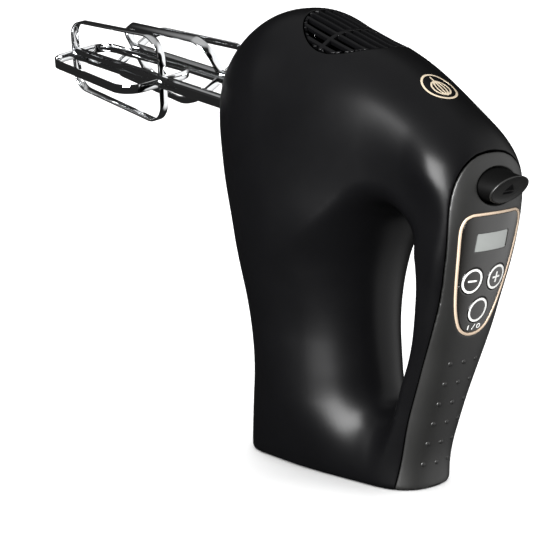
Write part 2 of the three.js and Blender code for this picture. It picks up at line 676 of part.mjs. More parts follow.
function armatureCore() {
  const outline = [];
  const slots = 10;
  for (let i = 0; i < slots; i += 1) {
    const a = 2 * Math.PI * i / slots;
    const half = Math.PI / slots;
    const tooth = [[9, -1], [9.2, -0.55], [ROTOR_R, -0.8], [ROTOR_R, 0.8], [9.2, 0.55]];
    for (const [r, share] of tooth) {
      outline.push([r * Math.cos(a + share * half), r * Math.sin(a + share * half)]);
    }
  }
  return solid(ontoShaft(alongZ(outline, STACK[0], STACK[1])))
    .subtract(solid(ontoShaft(rod(MOTOR_SHAFT_R + 0.2, -80, -40, 14))));
}
add(drive, 'armature_core', armatureCore(), 'lamination');

const bored = (r0, r1, u0, u1, sides = 16) => solid(ontoShaft(ring(r0, r1, u0, u1, sides)));
const onShaftR = MOTOR_SHAFT_R + 0.2;
const winding = (u0, u1) => solid(ontoShaft(turned([[onShaftR, u0], [9, u0], [11.6, (u0 + u1) / 2],
  [9, u1], [onShaftR, u1]], 16)));
add(drive, 'armature_winding_upper', winding(STACK[1] + GAP, STACK[1] + 5.5), 'copper');
add(drive, 'armature_winding_lower', winding(STACK[0] - 5.5, STACK[0] - GAP), 'copper');
add(drive, 'commutator', bored(onShaftR, 7.6, -92, -81), 'copper');

/** Fan: a disc with radial blades on the side that faces the motor. */
function coolingFan() {
  const [u0, u1] = FAN_U;
  const blades = [];
  for (let i = 0; i < FAN_BLADES; i += 1) {
    const blade = box(u0, u1 - 1, 6, 19, -0.6, 0.6).rotateX(2 * Math.PI * i / FAN_BLADES);
    blades.push(solid(blade));
  }
  const disc = bored(onShaftR, 19.2, u1 - 2, u1, 20);
  const boss = bored(onShaftR, 7, u0, u1, 16);
  return union(disc, boss, ...blades);
}
add(drive, 'cooling_fan', coolingFan(), 'nylon');

/** A U-shaped bracket that spans the stack and holds a bush on the shaft. */
function motorBracket(plateU, legU, plateHalfW) {
  let body = block(plateU, [-BRACKET_LEG_Y[1], BRACKET_LEG_Y[1]], [-plateHalfW, plateHalfW]);
  for (const sign of both) {
    const leg = block(legU, span(sign, ...BRACKET_LEG_Y), [-BRACKET_LEG_HALF_W, BRACKET_LEG_HALF_W]);
    body = body.add(leg);
  }
  return body.subtract(solid(ontoShaft(rod(BUSH_R + GAP, -130, 10))));
}
add(drive, 'motor_bracket_upper', motorBracket([-28, -25.5], [STACK[1] + GAP, -25.5], 9), 'steel');
add(drive, 'motor_bracket_lower', motorBracket([-101, -98], [-101, STACK[0] - GAP], 12), 'steel');
add(drive, 'bush_upper', bored(MOTOR_SHAFT_R + 0.15, BUSH_R, -29, -24.5), 'bronze');
add(drive, 'bush_lower', bored(MOTOR_SHAFT_R + 0.15, BUSH_R, -103, -96.5), 'bronze');
add(drive, 'bush_worm_end', bored(MOTOR_SHAFT_R + 0.15, BUSH_R, 20.5, 25), 'bronze');

// Brushes press on the commutator from both sides, in channels through insulating holders.
for (const [side, sign] of [['front', 1], ['back', -1]]) {
  const holder = block([-97.7, -81.5], [-5.4, 5.4], span(sign, 9.6, 22.5)).subtract(
    block([BRUSH.u[0] - GAP, BRUSH.u[1] + GAP], [-BRUSH.halfY - GAP, BRUSH.halfY + GAP],
      span(sign, 0, 21)),
  );
  const brush = block(BRUSH.u, [-BRUSH.halfY, BRUSH.halfY], span(sign, BRUSH.tip, BRUSH.tail));
  add(drive, `brush_holder_${side}`, holder, 'bakelite');
  add(drive, `carbon_brush_${side}`, brush, 'carbon');
}

// ---------------------------------------------------------------- gearbox

function gearboxFrame() {
  const plate = block([-23, 26], [-26.5, 26.5], BACK_PLATE_W);
  const posts = both.flatMap((a) => both.map((b) =>
    solid(rod(POST.r, -12, FRONT_PLATE_W[0] - GAP, 10).translate(a * POST.u, b * POST.y, 0))));
  const lug = block([20.5, 25], [-8, 8], [-12, 8]);
  const holes = both.map((b) =>
    solid(rod(EJECT_PIN_R + 0.4, -20, 0, 16).translate(0, b * SPINDLE_Y, 0)));
  const shaftHole = solid(ontoShaft(rod(BUSH_R + GAP, 10, 40, 20)));
  return union(plate, lug, ...posts).subtract(union(...holes, shaftHole));
}
add(drive, 'gearbox_frame', gearboxFrame(), 'bakelite');

function spindlePlate() {
  const plate = block([-24, 24], [-29, 29], FRONT_PLATE_W);
  const holes = both.map((b) =>
    solid(rod(HUB_R + 2 + GAP, 10, 20).translate(0, b * SPINDLE_Y, 0)));
  const screws = both.flatMap((a) => both.map((b) =>
    solid(rod(SCREW_R + GAP, 10, 20, 10).translate(a * POST.u, b * POST.y, 0))));
  return plate.subtract(union(...holes, ...screws));
}
add(drive, 'spindle_plate', spindlePlate(), 'bakelite');
for (const [side, sign] of [['left', -1], ['right', 1]]) {
  const bush = ring(HUB_R + 0.15, HUB_R + 2, FRONT_PLATE_W[0] - 2, FRONT_PLATE_W[1] + 2);
  add(drive, `spindle_bush_${side}`, solid(bush.translate(0, sign * SPINDLE_Y, 0)), 'bronze');
}

// ---------------------------------------------------------------- ejector

/** Oval push button with a slanted face, on a short skirt that stays in its hole. */
function ejectButton() {
  const skirt = EJECT_FACE_W + 6.5;
  const profile = [[0, EJECT_FACE_W], [0.96, EJECT_FACE_W], [1, EJECT_FACE_W + 0.5],
    [0.97, EJECT_FACE_W + 1.5], [0.96, skirt], [0.96, EJECT_INNER_W], [0, EJECT_INNER_W]];
  const g = turned(profile, 28).scale(EJECT_HALF_U, EJECT_HALF_Y, 1);
  const p = g.attributes.position;
  for (let i = 0; i < p.count; i += 1) {
    if (p.getZ(i) < skirt - 1) p.setZ(i, p.getZ(i) - EJECT_SLANT * p.getX(i));
  }
  return solid(g.translate(EJECT_U, 0, 0));
}
add(drive, 'eject_button', ejectButton(), 'grip');
add(drive, 'ejector_rod', solid(rod(3, EJECT_INNER_W + GAP, YOKE_W - GAP, 14)), 'steel');

function ejectorYoke() {
  const bar = block([-4.5, 4.5], [-23.5, 23.5], [YOKE_W, YOKE_W + 3]);
  const pins = both.map((b) =>
    solid(rod(EJECT_PIN_R, YOKE_W + 1, SHAFT_BACK - GAP, 14).translate(0, b * SPINDLE_Y, 0)));
  return union(bar, ...pins);
}
add(drive, 'ejector_yoke', ejectorYoke(), 'nylon');

const springLength = BACK_PLATE_W[0] - (YOKE_W + 3) - 2 * GAP;
function ejectSpring() {
  const wire = 0.6;
  const turns = 4;
  const lead = (springLength - 2 * wire) / turns;
  return solid(helix(circle(wire, 5, SPRING_COIL_R, 0), turns, lead, 9)
    .translate(0, 0, (BACK_PLATE_W[0] + YOKE_W + 3) / 2));
}
add(drive, 'eject_spring', ejectSpring(), 'steel');

// ---------------------------------------------------------------- beaters

/** Half of a loop as [w, radius] points, from the shaft out round to the far end. */
function loopHalf(farEnd) {
  const corner = (cw, cr, rw, rr, from, to) => Array.from({ length: 5 }, (_, i) => {
    const a = THREE.MathUtils.degToRad(from + (to - from) * i / 4);
    return [cw + rw * Math.cos(a), cr + rr * Math.sin(a)];
  });
  return [
    [LOOP_START, SHAFT_R + GAP],
    ...corner(LOOP_START + 11, LOOP_R_NEAR - 11, 11, 11, 180, 92),
    ...corner(farEnd - 9, LOOP_R_FAR - 9, 9, 9, 88, 0),
  ];
}

/** A strip loop about the beater axis, STRIP_W wide, bent from flat bar STRIP_T thick. */
function beaterLoop(farEnd) {
  const half = loopHalf(farEnd);
  const path = [...half, ...half.map(([w, r]) => [w, -r]).reverse()];
  const side = (sign) => path.map(([w, r], i) => {
    const [w0, r0] = path[Math.max(i - 1, 0)];
    const [w1, r1] = path[Math.min(i + 1, path.length - 1)];
    const length = Math.hypot(w1 - w0, r1 - r0);
    const offset = sign * STRIP_T / 2 / length;
    return [w - (r1 - r0) * offset, r + (w1 - w0) * offset];
  });
  const strip = extrude([...side(1), ...side(-1).reverse()], STRIP_W);
  return strip.translate(0, 0, -STRIP_W / 2).rotateY(-Math.PI / 2);
}

for (const [side, sign, turn] of [['left', -1, LEFT_TURN], ['right', 1, RIGHT_TURN]]) {
  const farEnd = LOOP_START + LOOP_LENGTH;
  const place = (g, angle) => solid(g.rotateZ(angle + turn).translate(0, sign * SPINDLE_Y, 0));
  const tip = farEnd - LOOP_CROSSING - STRIP_T / 2 - GAP;
  const shaft = turned([[0, SHAFT_BACK], [SHAFT_R - 0.8, SHAFT_BACK], [SHAFT_R, SHAFT_BACK + 1],
    [SHAFT_R, tip], [0, tip]]);
  add(drive, `beater_${side}_shaft`, place(shaft, 0), 'chrome');
  add(drive, `beater_${side}_loop_a`, place(beaterLoop(farEnd), 0), 'chrome');
  const crossed = place(beaterLoop(farEnd - LOOP_CROSSING), Math.PI / 2);
  add(drive, `beater_${side}_loop_b`, crossed, 'chrome');
}

export default object;
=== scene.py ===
"""Looks of the hand mixer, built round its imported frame.

Blender objects are in metres. The body's shape is worked out in millimetres in the same frame:
+Z up from the heel, -X the way the beaters point, +X the grip and its controls.
"""

import json
import math

import bpy
import numpy as np
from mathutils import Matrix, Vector


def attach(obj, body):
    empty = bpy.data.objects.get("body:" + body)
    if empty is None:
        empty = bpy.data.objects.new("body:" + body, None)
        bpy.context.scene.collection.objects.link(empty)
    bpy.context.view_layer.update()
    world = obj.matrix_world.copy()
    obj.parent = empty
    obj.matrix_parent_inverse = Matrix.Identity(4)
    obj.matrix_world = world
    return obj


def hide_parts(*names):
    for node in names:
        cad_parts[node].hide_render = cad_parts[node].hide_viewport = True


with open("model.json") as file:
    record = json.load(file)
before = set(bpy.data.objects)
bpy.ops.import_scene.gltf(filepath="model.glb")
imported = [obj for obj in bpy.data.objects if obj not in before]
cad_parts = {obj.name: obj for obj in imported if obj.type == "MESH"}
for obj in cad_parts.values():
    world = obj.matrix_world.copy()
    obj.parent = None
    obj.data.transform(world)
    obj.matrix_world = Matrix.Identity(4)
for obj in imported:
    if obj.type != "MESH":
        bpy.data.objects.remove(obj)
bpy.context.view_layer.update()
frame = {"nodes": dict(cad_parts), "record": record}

MM = 0.001

# ---------------------------------------------------------------- camera

CAMERA_VIEW = (48.0, 11.5)  # azimuth and elevation in degrees
CAMERA_DISTANCE = 0.840
CAMERA_TARGET = Vector((-0.0489, -0.0178, 0.0895))
SENSOR_MM, LENS_MM = 36, 120.22514
CLIP_START, CLIP_END = 0.01, 50


def towards_view(azimuth, elevation):
    """Unit vector from the object to a viewer. Azimuth 0 looks along +Y."""
    a, e = math.radians(azimuth), math.radians(elevation)
    return (math.sin(a) * math.cos(e), -math.cos(a) * math.cos(e), math.sin(e))


def make_camera():
    back = Vector(towards_view(*CAMERA_VIEW))
    data = bpy.data.cameras.new("camera")
    data.sensor_width = SENSOR_MM
    data.lens = LENS_MM
    data.clip_start, data.clip_end = CLIP_START, CLIP_END
    camera = bpy.data.objects.new("camera", data)
    camera.location = CAMERA_TARGET + CAMERA_DISTANCE * back
    camera.rotation_mode = "QUATERNION"
    camera.rotation_quaternion = (-back).to_track_quat("-Z", "Y")
    bpy.context.scene.collection.objects.link(camera)
    bpy.context.scene.camera = camera


make_camera()

# ---------------------------------------------------------------- body surface

BODY_OUTLINE = [
    (46, -14), (44.8, 0), (45.8, 14), (51.6, 34), (59.2, 58), (66.5, 82), (72.2, 104),
    (76.6, 126), (77.6, 144), (70.6, 158.5), (54, 172.6), (24, 191), (-6, 202.4), (-36, 210.52),
    (-57, 203.2), (-73, 184), (-79.5, 160), (-77.5, 132), (-69, 104), (-62.5, 76), (-60, 48),
    (-62, 22), (-64, 0), (-64, -14),
]
FINGER_OUTLINE = [
    (27, 35), (33.5, 45), (39.5, 58), (44, 72), (46.8, 86), (48, 99), (46.5, 111), (41, 121),
    (32, 126.5), (23, 123), (15.8, 107), (11.5, 91), (10.2, 78), (10.4, 64), (11.9, 50),
    (14, 38.5), (19.5, 33),
]
GRIP_SEAM = [
    (30, -20), (36, 0), (43, 32), (51, 56), (59.5, 78), (65.2, 97), (68.9, 115), (70.7, 133),
    (72.1, 145), (73.3, 160), (75, 175), (80, 230),
]
COVER_SEAM = [
    (-53, -20), (-53, 0), (-51, 40), (-54, 76), (-60, 104), (-67.5, 130), (-70.5, 152),
    (-69, 170), (-64, 186), (-56, 200), (-48, 216), (-40, 230),
]
POWER = 2.3  # squareness of the body's sections, where 2 is an ellipse
INSIDE = 0.997  # keeps the smooth sides within the flat facets of the part
HEEL_ROUND = 1.8
STEP = 1.3  # size of a cell of the surface net
NET_X, NET_Z = -84.0, -4.0  # its lowest corner
NET_LENGTH, NET_HALF_WIDTH, NET_HEIGHT = 170, 49, 218
MM_PER_LEVEL = 25  # about how far the level of the body takes to change by 1


def spline(points, per=16, closed=True):
    """Points along a smooth curve through the given ones."""
    p = np.array(points, float)
    n = len(p)
    out = []
    for i in range(n if closed else n - 1):
        if closed:
            a, b, c, d = p[i - 1], p[i], p[(i + 1) % n], p[(i + 2) % n]
        else:
            a, b, c, d = p[max(i - 1, 0)], p[i], p[i + 1], p[min(i + 2, n - 1)]
        for k in range(per):
            t = k / per
            out.append(0.5 * (2 * b + (c - a) * t + (2 * a - 5 * b + 4 * c - d) * t * t
                              + (3 * b - a - 3 * c + d) * t**3))
    if not closed:
        out.append(p[-1])
    return np.array(out)


def inside_distance(polygon, x, z):
    """Distance inside a closed polygon, negative outside it."""
    nearest = np.full(np.shape(x), 1e9)
    inside = np.zeros(np.shape(x), bool)
    for (ax, az), (bx, bz) in zip(polygon, np.roll(polygon, -1, axis=0)):
        ex, ez = bx - ax, bz - az
        t = np.clip(((x - ax) * ex + (z - az) * ez) / (ex * ex + ez * ez), 0, 1)
        nearest = np.minimum(nearest, np.hypot(x - ax - t * ex, z - az - t * ez))
        crosses = (az > z) != (bz > z)
        inside ^= crosses & (x < ax + (z - az) / (ez if ez else 1e-12) * ex)
    return np.where(inside, nearest, -nearest)


def lerp(a, b, t):
    return a + (b - a) * t


def smooth(a, b, v):
    t = np.clip((v - a) / (b - a), 0, 1)
    return t * t * (3 - 2 * t)


def softened(grid, cells):
    """A grid of values with a soft blur, so that creases of the distance field don't show."""
    reach = int(3 * cells)
    weights = np.exp(-0.5 * (np.arange(-reach, reach + 1) / cells) ** 2)
    weights /= weights.sum()
    for axis in (0, 1):
        pad = [(reach, reach) if a == axis else (0, 0) for a in (0, 1)]
        wide = np.pad(grid, pad, mode="reflect", reflect_type="odd")
        n = grid.shape[axis]
        grid = sum(w * np.take(wide, np.arange(i, i + n), axis=axis) for i, w in enumerate(weights))
    return grid


class DistanceMap:
    """Distance inside an outline, kept on a fine grid in X and Z."""

    low, pitch, shape = np.array([-112.0, -42.0]), 0.75, (300, 372)

    def __init__(self, outline):
        x = self.low[0] + self.pitch * np.arange(self.shape[0])
        z = self.low[1] + self.pitch * np.arange(self.shape[1])
        gx, gz = np.meshgrid(x, z, indexing="ij")
        self.grid = softened(inside_distance(spline(outline), gx, gz), 2.4)

    def at(self, x, z):
        u = np.clip((x - self.low[0]) / self.pitch, 0, self.shape[0] - 1.001)
        v = np.clip((z - self.low[1]) / self.pitch, 0, self.shape[1] - 1.001)
        i, j = u.astype(int), v.astype(int)
        s, t = u - i, v - j
        g = self.grid
        return ((g[i, j] * (1 - s) + g[i + 1, j] * s) * (1 - t)
                + (g[i, j + 1] * (1 - s) + g[i + 1, j + 1] * s) * t)


body_map = DistanceMap(BODY_OUTLINE)
finger_map = DistanceMap(FINGER_OUTLINE)


def side_shape(x, z):
    """What the surface at (x, z) depends on: two distances, half width and two roundings."""
    top = smooth(125, 182, z)
    front = lerp(24, 45, smooth(-20, 110, z))
    beside = lerp(lerp(25, 33, smooth(-12, 34, z)), 45, smooth(62, 132, z))
    column = lerp(lerp(front, beside, smooth(-48, -12, x)), 38, smooth(90, 190, z))
    strip = 1.9 * smooth(46, 64, x) * smooth(84, 114, z) * (1 - smooth(150, 182, z))
    handle = lerp(lerp(19, 23, smooth(10, 110, z)), 36, top) + strip
    nose = smooth(20, 80, -x) * smooth(120, 200, z)
    half = lerp(lerp(column, handle, smooth(-30, 66, x)), 46, nose) * INSIDE
    sides = lerp(55 * lerp(0.45, 1, smooth(0, 80, z)), 11, smooth(25, 62, x))
    grip = smooth(22, 42, x) * (1 - smooth(108, 135, z))
    finger = lerp(lerp(36, 15, smooth(96, 132, z)), 6.5, grip)
    return body_map.at(x, z), finger_map.at(x, z), half, lerp(sides, 46, top), finger


def level_of(shape, y):
    depth, finger_depth, half, edge, finger = shape
    a = np.maximum(1 - depth / edge, 0) ** POWER
    b = np.maximum(1 + finger_depth / finger, 0) ** POWER
    return (a + b + np.abs(y / half) ** POWER) ** (1 / POWER) - 1


def level(p):
    """Below 0 inside the moulded body, 0 on its surface."""
    return level_of(side_shape(p[:, 0], p[:, 2]), p[:, 1])


def slope_of(function, p, h=0.25):
    out = np.zeros_like(p)
    for axis in range(3):
        move = np.zeros(3)
        move[axis] = h
        out[:, axis] = (function(p + move) - function(p - move)) / (2 * h)
    return out


def to_surface(p):
    """Distance outside the body, heel face included, and the outward direction."""
    value, slope = level(p), slope_of(level, p)
    steep = np.maximum(np.linalg.norm(slope, axis=1), 1e-6)
    side, side_n = value / steep, slope / steep[:, None]
    heel, heel_n = -p[:, 2], np.array([0, 0, -1.0])
    a, b = side + HEEL_ROUND, heel + HEEL_ROUND
    corner = (a > 0) & (b > 0)
    length = np.maximum(np.hypot(a, b), 1e-9)
    distance = np.where(corner, length - HEEL_ROUND, np.maximum(side, heel))
    rounded = (a[:, None] * side_n + b[:, None] * heel_n) / length[:, None]
    flat = np.where((side > heel)[:, None], side_n, heel_n)
    n = np.where(corner[:, None], rounded, flat)
    return distance, n / np.maximum(np.linalg.norm(n, axis=1), 1e-9)[:, None]


def project(p, passes=4):
    """Points drawn onto the body surface."""
    for _ in range(passes):
        distance, n = to_surface(p)
        p = p - np.clip(distance, -2, 2)[:, None] * n
    return p


def seam_x(seam):
    """X of a parting line as a function of Z, along a smooth curve."""
    line = spline(seam, 12, closed=False)
    return lambda z: np.interp(z, line[:, 1], line[:, 0])


grip_x = seam_x(GRIP_SEAM)
cover_x = seam_x(COVER_SEAM)


def surface_net():
    """Vertices and triangles of the whole body surface, facing out."""
    half_cells = round(NET_HALF_WIDTH / STEP)
    low = np.array([NET_X, -(half_cells + 0.5) * STEP, NET_Z])
    count = [int(NET_LENGTH / STEP), 2 * half_cells + 2, int(NET_HEIGHT / STEP)]
    x, y, z = [low[i] + STEP * np.arange(count[i]) for i in range(3)]
    gx, gz = np.meshgrid(x, z, indexing="ij")
    shape = [np.broadcast_to(v, gx.shape)[:, None, :] for v in side_shape(gx, gz)]
    inside = np.minimum(-MM_PER_LEVEL * level_of(shape, y[None, :, None]), z[None, None, :])
    kept = inside > 0
    cells = tuple(n - 1 for n in count)
    total, crossings = np.zeros((*cells, 3)), np.zeros(cells)
    for axis in range(3):
        others = [a for a in range(3) if a != axis]
        for first in (0, 1):
            for second in (0, 1):
                start = [0, 0, 0]
                start[others[0]], start[others[1]] = first, second
                end = list(start)
                end[axis] += 1
                one = inside[tuple(slice(s, s + n) for s, n in zip(start, cells))]
                two = inside[tuple(slice(s, s + n) for s, n in zip(end, cells))]
                cross = (one > 0) != (two > 0)
                t = np.where(cross, one / np.where(cross, one - two, 1), 0)
                crossings += cross
                for i in range(3):
                    total[..., i] += cross * (start[i] + (t if i == axis else 0))
    active = crossings > 0
    number = -np.ones(cells, int)
    number[active] = np.arange(active.sum())
    vertices = (np.argwhere(active) + total[active] / crossings[active][:, None]) * STEP + low
    quads = []
    for axis in range(3):
        others = [a for a in range(3) if a != axis]
        one, two = [slice(1, -1)] * 3, [slice(1, -1)] * 3
        one[axis], two[axis] = slice(0, -1), slice(1, None)
        a, b = kept[tuple(one)], kept[tuple(two)]
        place = np.argwhere(a != b)
        for other in others:
            place[:, other] += 1
        corners = []
        for du, dv in ((1, 1), (0, 1), (0, 0), (1, 0)):
            q = place.copy()
            q[:, others[0]] -= du
            q[:, others[1]] -= dv
            corners.append(number[q[:, 0], q[:, 1], q[:, 2]])
        quad = np.stack(corners, 1)
        forward = a[a != b]
        if axis == 1:
            forward = ~forward
        quads.append(np.where(forward[:, None], quad, quad[:, ::-1]))
    vertices = project(vertices, 6)
    quad = np.concatenate(quads)
    a, b, c, d = [vertices[quad[:, i]] for i in range(4)]
    short = np.linalg.norm(a - c, axis=1) <= np.linalg.norm(b - d, axis=1)
    first = np.where(short[:, None], quad[:, [0, 1, 2]], quad[:, [0, 1, 3]])
    second = np.where(short[:, None], quad[:, [0, 2, 3]], quad[:, [1, 2, 3]])
    return vertices, np.concatenate([first, second])


# ---------------------------------------------------------------- cutting pieces from a surface


def onto(function, p, passes=3):
    """Points moved to where function is 0, staying on the body surface."""
    for _ in range(passes):
        slope = slope_of(function, p, 0.05)
        steep = np.maximum((slope**2).sum(1), 1e-6)
        p = p - (np.clip(function(p), -1, 1) / steep)[:, None] * slope
        p = project(p, 1)
    return p


def keep(vertices, triangles, function, snap=0.35):
    """The part of a surface where function, a distance in mm, is positive."""
    value = function(vertices)
    near = np.abs(value) < snap
    vertices = vertices.copy()
    if near.any():
        vertices[near] = onto(function, vertices[near])
        value[near] = 0
    corner = value[triangles]
    whole = (corner >= 0).all(1) & (corner > 0).any(1)
    cut = (corner < 0).any(1) & (corner > 0).any(1)
    made, ends = {}, []
    out = list(map(tuple, triangles[whole]))

    def crossing(a, b):
        key = (min(a, b), max(a, b))
        if key not in made:
            made[key] = len(vertices) + len(ends)
            ends.append(key)
        return made[key]

    for tri in triangles[cut]:
        polygon = []
        for i in range(3):
            a, b = int(tri[i]), int(tri[(i + 1) % 3])
            if value[a] >= 0:
                polygon.append(a)
            if value[a] * value[b] < 0:
                polygon.append(crossing(a, b))
        out += [(polygon[0], polygon[i], polygon[i + 1]) for i in range(1, len(polygon) - 1)]
    if ends:
        a, b = np.array(ends).T
        t = value[a] / (value[a] - value[b])
        new = onto(function, vertices[a] + t[:, None] * (vertices[b] - vertices[a]))
        vertices = np.concatenate([vertices, new])
    out = np.array(out, int).reshape(-1, 3)
    used, index = np.unique(out, return_inverse=True)
    return vertices[used], index.reshape(-1, 3)


def arc_profile(radius, depth, steps=3):
    """Edge of a plate: out along the surface and down, rounded by radius, to the depth."""
    arc = [math.pi / 2 * i / steps for i in range(1, steps + 1)]
    points = [(radius * math.sin(a), radius * (1 - math.cos(a))) for a in arc]
    return points + [(radius, depth)]


def shell(vertices, triangles, profile, lift=0.0, dome=None):
    """A closed plate: the surface, a rounded edge along profile, and an inner face at its depth.

    lift raises the whole plate. dome adds a height, given as a function of the points."""
    _, n = to_surface(vertices)
    top = vertices + n * lift
    if dome is not None:
        top = top + n * dome(vertices)[:, None]
    edges = {}
    for tri in triangles:
        for i in range(3):
            edges[(int(tri[i]), int(tri[(i + 1) % 3]))] = True
    border = [(a, b) for a, b in edges if (b, a) not in edges]
    outward = {}
    for a, b in border:
        d = top[b] - top[a]
        s = np.cross(d, n[a] + n[b])
        s /= max(np.linalg.norm(s), 1e-9)
        outward.setdefault(a, []).append(s)
        outward.setdefault(b, []).append(s)
    ring = sorted(outward)
    place = {v: i for i, v in enumerate(ring)}
    push = []
    for v in ring:
        s = outward[v]
        total = sum(s)
        push.append(total / max(1 + float(s[0] @ s[-1]), 0.4) if len(s) > 1 else s[0])
    push = np.array(push)
    ring_n, ring_p = n[ring], top[ring]
    points, base = [top], [len(top)]
    for a, b in profile:
        points.append(ring_p + push * a - ring_n * b)
        base.append(base[-1] + len(ring))
    inner = base[-1]
    points.append(top - n * profile[-1][1])
    faces = [tuple(map(int, t)) for t in triangles]
    faces += [tuple(int(v) + inner for v in t[::-1]) for t in triangles]
    rows = [dict((v, v) for v in ring)]
    rows += [dict((v, base[k] + place[v]) for v in ring) for k in range(len(profile))]
    rows.append(dict((v, v + inner) for v in ring))
    for a, b in border:
        for one, two in zip(rows, rows[1:]):
            faces.append((one[b], one[a], two[a], two[b]))
    return np.concatenate(points), faces


def on_body(p, axis):
    """Points moved along one axis until they lie on the body surface."""
    p = p.copy()
    move = np.zeros(3)
    move[axis] = 0.2
    for _ in range(8):
        rate = (level(p + move) - level(p - move)) / 0.4
        p[:, axis] -= np.clip(level(p) / np.where(np.abs(rate) > 1e-4, rate, 1), -6, 6)
    return p


def near_grip(y, z):
    """Points close to the grip face, to be moved along X onto the body."""
    return np.stack([69 + 0.2 * (z - 100), y, z], 1)


def near_top(x, y):
    """Points close to the top, to be moved along Z onto the body."""
    return np.stack([x, y, 204 - 0.55 * np.maximum(x + 8, 0)], 1)


def patch(centre, half, step, axis):
    """A fine grid laid onto the body: axis 0 covers (y, z) of the grip face, 2 covers (x, y)."""
    a = np.arange(centre[0] - half[0], centre[0] + half[0] + step, step)
    b = np.arange(centre[1] - half[1], centre[1] + half[1] + step, step)
    ga, gb = np.meshgrid(a, b, indexing="ij")
    u, v = ga.ravel(), gb.ravel()
    p = on_body(near_grip(u, v) if axis == 0 else near_top(u, v), axis)
    n = len(b)
    i, j = np.meshgrid(np.arange(len(a) - 1), np.arange(n - 1), indexing="ij")
    q = (i * n + j).ravel()
    triangles = np.concatenate([np.stack([q, q + n, q + n + 1], 1), np.stack([q, q + n + 1, q + 1], 1)])
    return p, triangles


def piece(name, points, faces, body, material, replaces=(), sharp=38):
    """A mesh in millimetres as a finished piece that rides on a body."""
    mesh = bpy.data.meshes.new(name)
    mesh.from_pydata((np.asarray(points) * MM).tolist(), [], [list(map(int, f)) for f in faces])
    mesh.validate()
    mesh.shade_smooth()
    mesh.set_sharp_from_angle(angle=math.radians(sharp))
    mesh.materials.append(material)
    made = bpy.data.objects.new(name, mesh)
    bpy.context.scene.collection.objects.link(made)
    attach(made, body)
    if replaces:
        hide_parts(*replaces)
    return made


# ---------------------------------------------------------------- materials


def material(name, base, rough, metallic=0.0, vary=0.0, vary_scale=60.0, grain=0.0,
             grain_scale=2500.0, grain_depth=0.00004, tone=0.12, stretch=None, **sockets):
    """A Principled material with tone and roughness that vary over the piece, and fine grain."""
    made = bpy.data.materials.new(name)
    made.use_nodes = True
    made.diffuse_color = (*base, 1)
    tree = made.node_tree
    shader = tree.nodes["Principled BSDF"]
    coords = tree.nodes.new("ShaderNodeTexCoord")
    source = coords.outputs["Object"]
    if stretch:
        mapping = tree.nodes.new("ShaderNodeMapping")
        mapping.inputs["Scale"].default_value = stretch
        tree.links.new(source, mapping.inputs["Vector"])
        source = mapping.outputs["Vector"]
    broad = tree.nodes.new("ShaderNodeTexNoise")
    broad.inputs["Scale"].default_value = vary_scale
    broad.inputs["Detail"].default_value = 3
    tree.links.new(source, broad.inputs["Vector"])
    tint = tree.nodes.new("ShaderNodeMix")
    tint.data_type = "RGBA"
    tint.inputs["A"].default_value = (*[c * (1 - tone) for c in base], 1)
    tint.inputs["B"].default_value = (*[min(c * (1 + tone), 1) for c in base], 1)
    tree.links.new(broad.outputs["Fac"], tint.inputs["Factor"])
    tree.links.new(tint.outputs["Result"], shader.inputs["Base Color"])
    spread = tree.nodes.new("ShaderNodeMapRange")
    spread.inputs["To Min"].default_value = max(rough - vary, 0.01)
    spread.inputs["To Max"].default_value = rough + vary
    tree.links.new(broad.outputs["Fac"], spread.inputs["Value"])
    tree.links.new(spread.outputs["Result"], shader.inputs["Roughness"])
    shader.inputs["Metallic"].default_value = metallic
    if grain:
        fine = tree.nodes.new("ShaderNodeTexNoise")
        fine.inputs["Scale"].default_value = grain_scale
        fine.inputs["Detail"].default_value = 2
        tree.links.new(source, fine.inputs["Vector"])
        bump = tree.nodes.new("ShaderNodeBump")
        bump.inputs["Strength"].default_value = grain
        bump.inputs["Distance"].default_value = grain_depth
        tree.links.new(fine.outputs["Fac"], bump.inputs["Height"])
        tree.links.new(bump.outputs["Normal"], shader.inputs["Normal"])
    for key, value in sockets.items():
        shader.inputs[key.replace("_", " ").title().replace("Ior", "IOR")].default_value = value
    return made


BLACK = material("black_plastic", (0.0014, 0.0014, 0.0016), 0.33, vary=0.03, grain=0.16,
                 grain_scale=2200, specular_ior_level=0.14)
GRIP = material("grip_plastic", (0.0072, 0.0072, 0.0069), 0.42, vary=0.04, grain=0.3,
                grain_scale=3200, specular_ior_level=0.5)
PANEL = material("panel_gloss", (0.006, 0.0056, 0.005), 0.13, vary=0.02, coat_weight=0.6,
                 coat_roughness=0.04)
ROSE = material("rose_trim", (0.43, 0.335, 0.25), 0.42, metallic=0.35, vary=0.05,
                vary_scale=200, grain=0.1)
LENS = material("display", (0.17, 0.18, 0.172), 0.3, vary=0.03, coat_weight=1.0,
                coat_roughness=0.05)
CHROME = material("chrome", (0.86, 0.87, 0.88), 0.05, metallic=1.0, vary=0.02, tone=0.03,
                  vary_scale=120)
STEEL = material("steel", (0.50, 0.50, 0.51), 0.33, metallic=1.0, vary=0.06, vary_scale=150,
                 grain=0.15, stretch=(1, 1, 12))
LAMINATION = material("lamination", (0.20, 0.20, 0.21), 0.45, metallic=0.9, vary=0.08, grain=0.5,
                      grain_scale=900, stretch=(0.2, 0.2, 3))
COPPER = material("copper", (0.60, 0.27, 0.13), 0.32, metallic=1.0, vary=0.06, grain=0.6,
                  grain_scale=700, stretch=(0.3, 1, 3))
BRONZE = material("bronze", (0.55, 0.39, 0.20), 0.42, metallic=1.0, vary=0.06, grain=0.4)
NYLON = material("nylon", (0.66, 0.63, 0.55), 0.5, vary=0.05, grain=0.2, tone=0.05)
GEARBOX = material("gearbox_plastic", (0.075, 0.048, 0.032), 0.5, vary=0.06, grain=0.35)
CARBON = material("carbon", (0.03, 0.03, 0.032), 0.65, vary=0.08, grain=0.5)
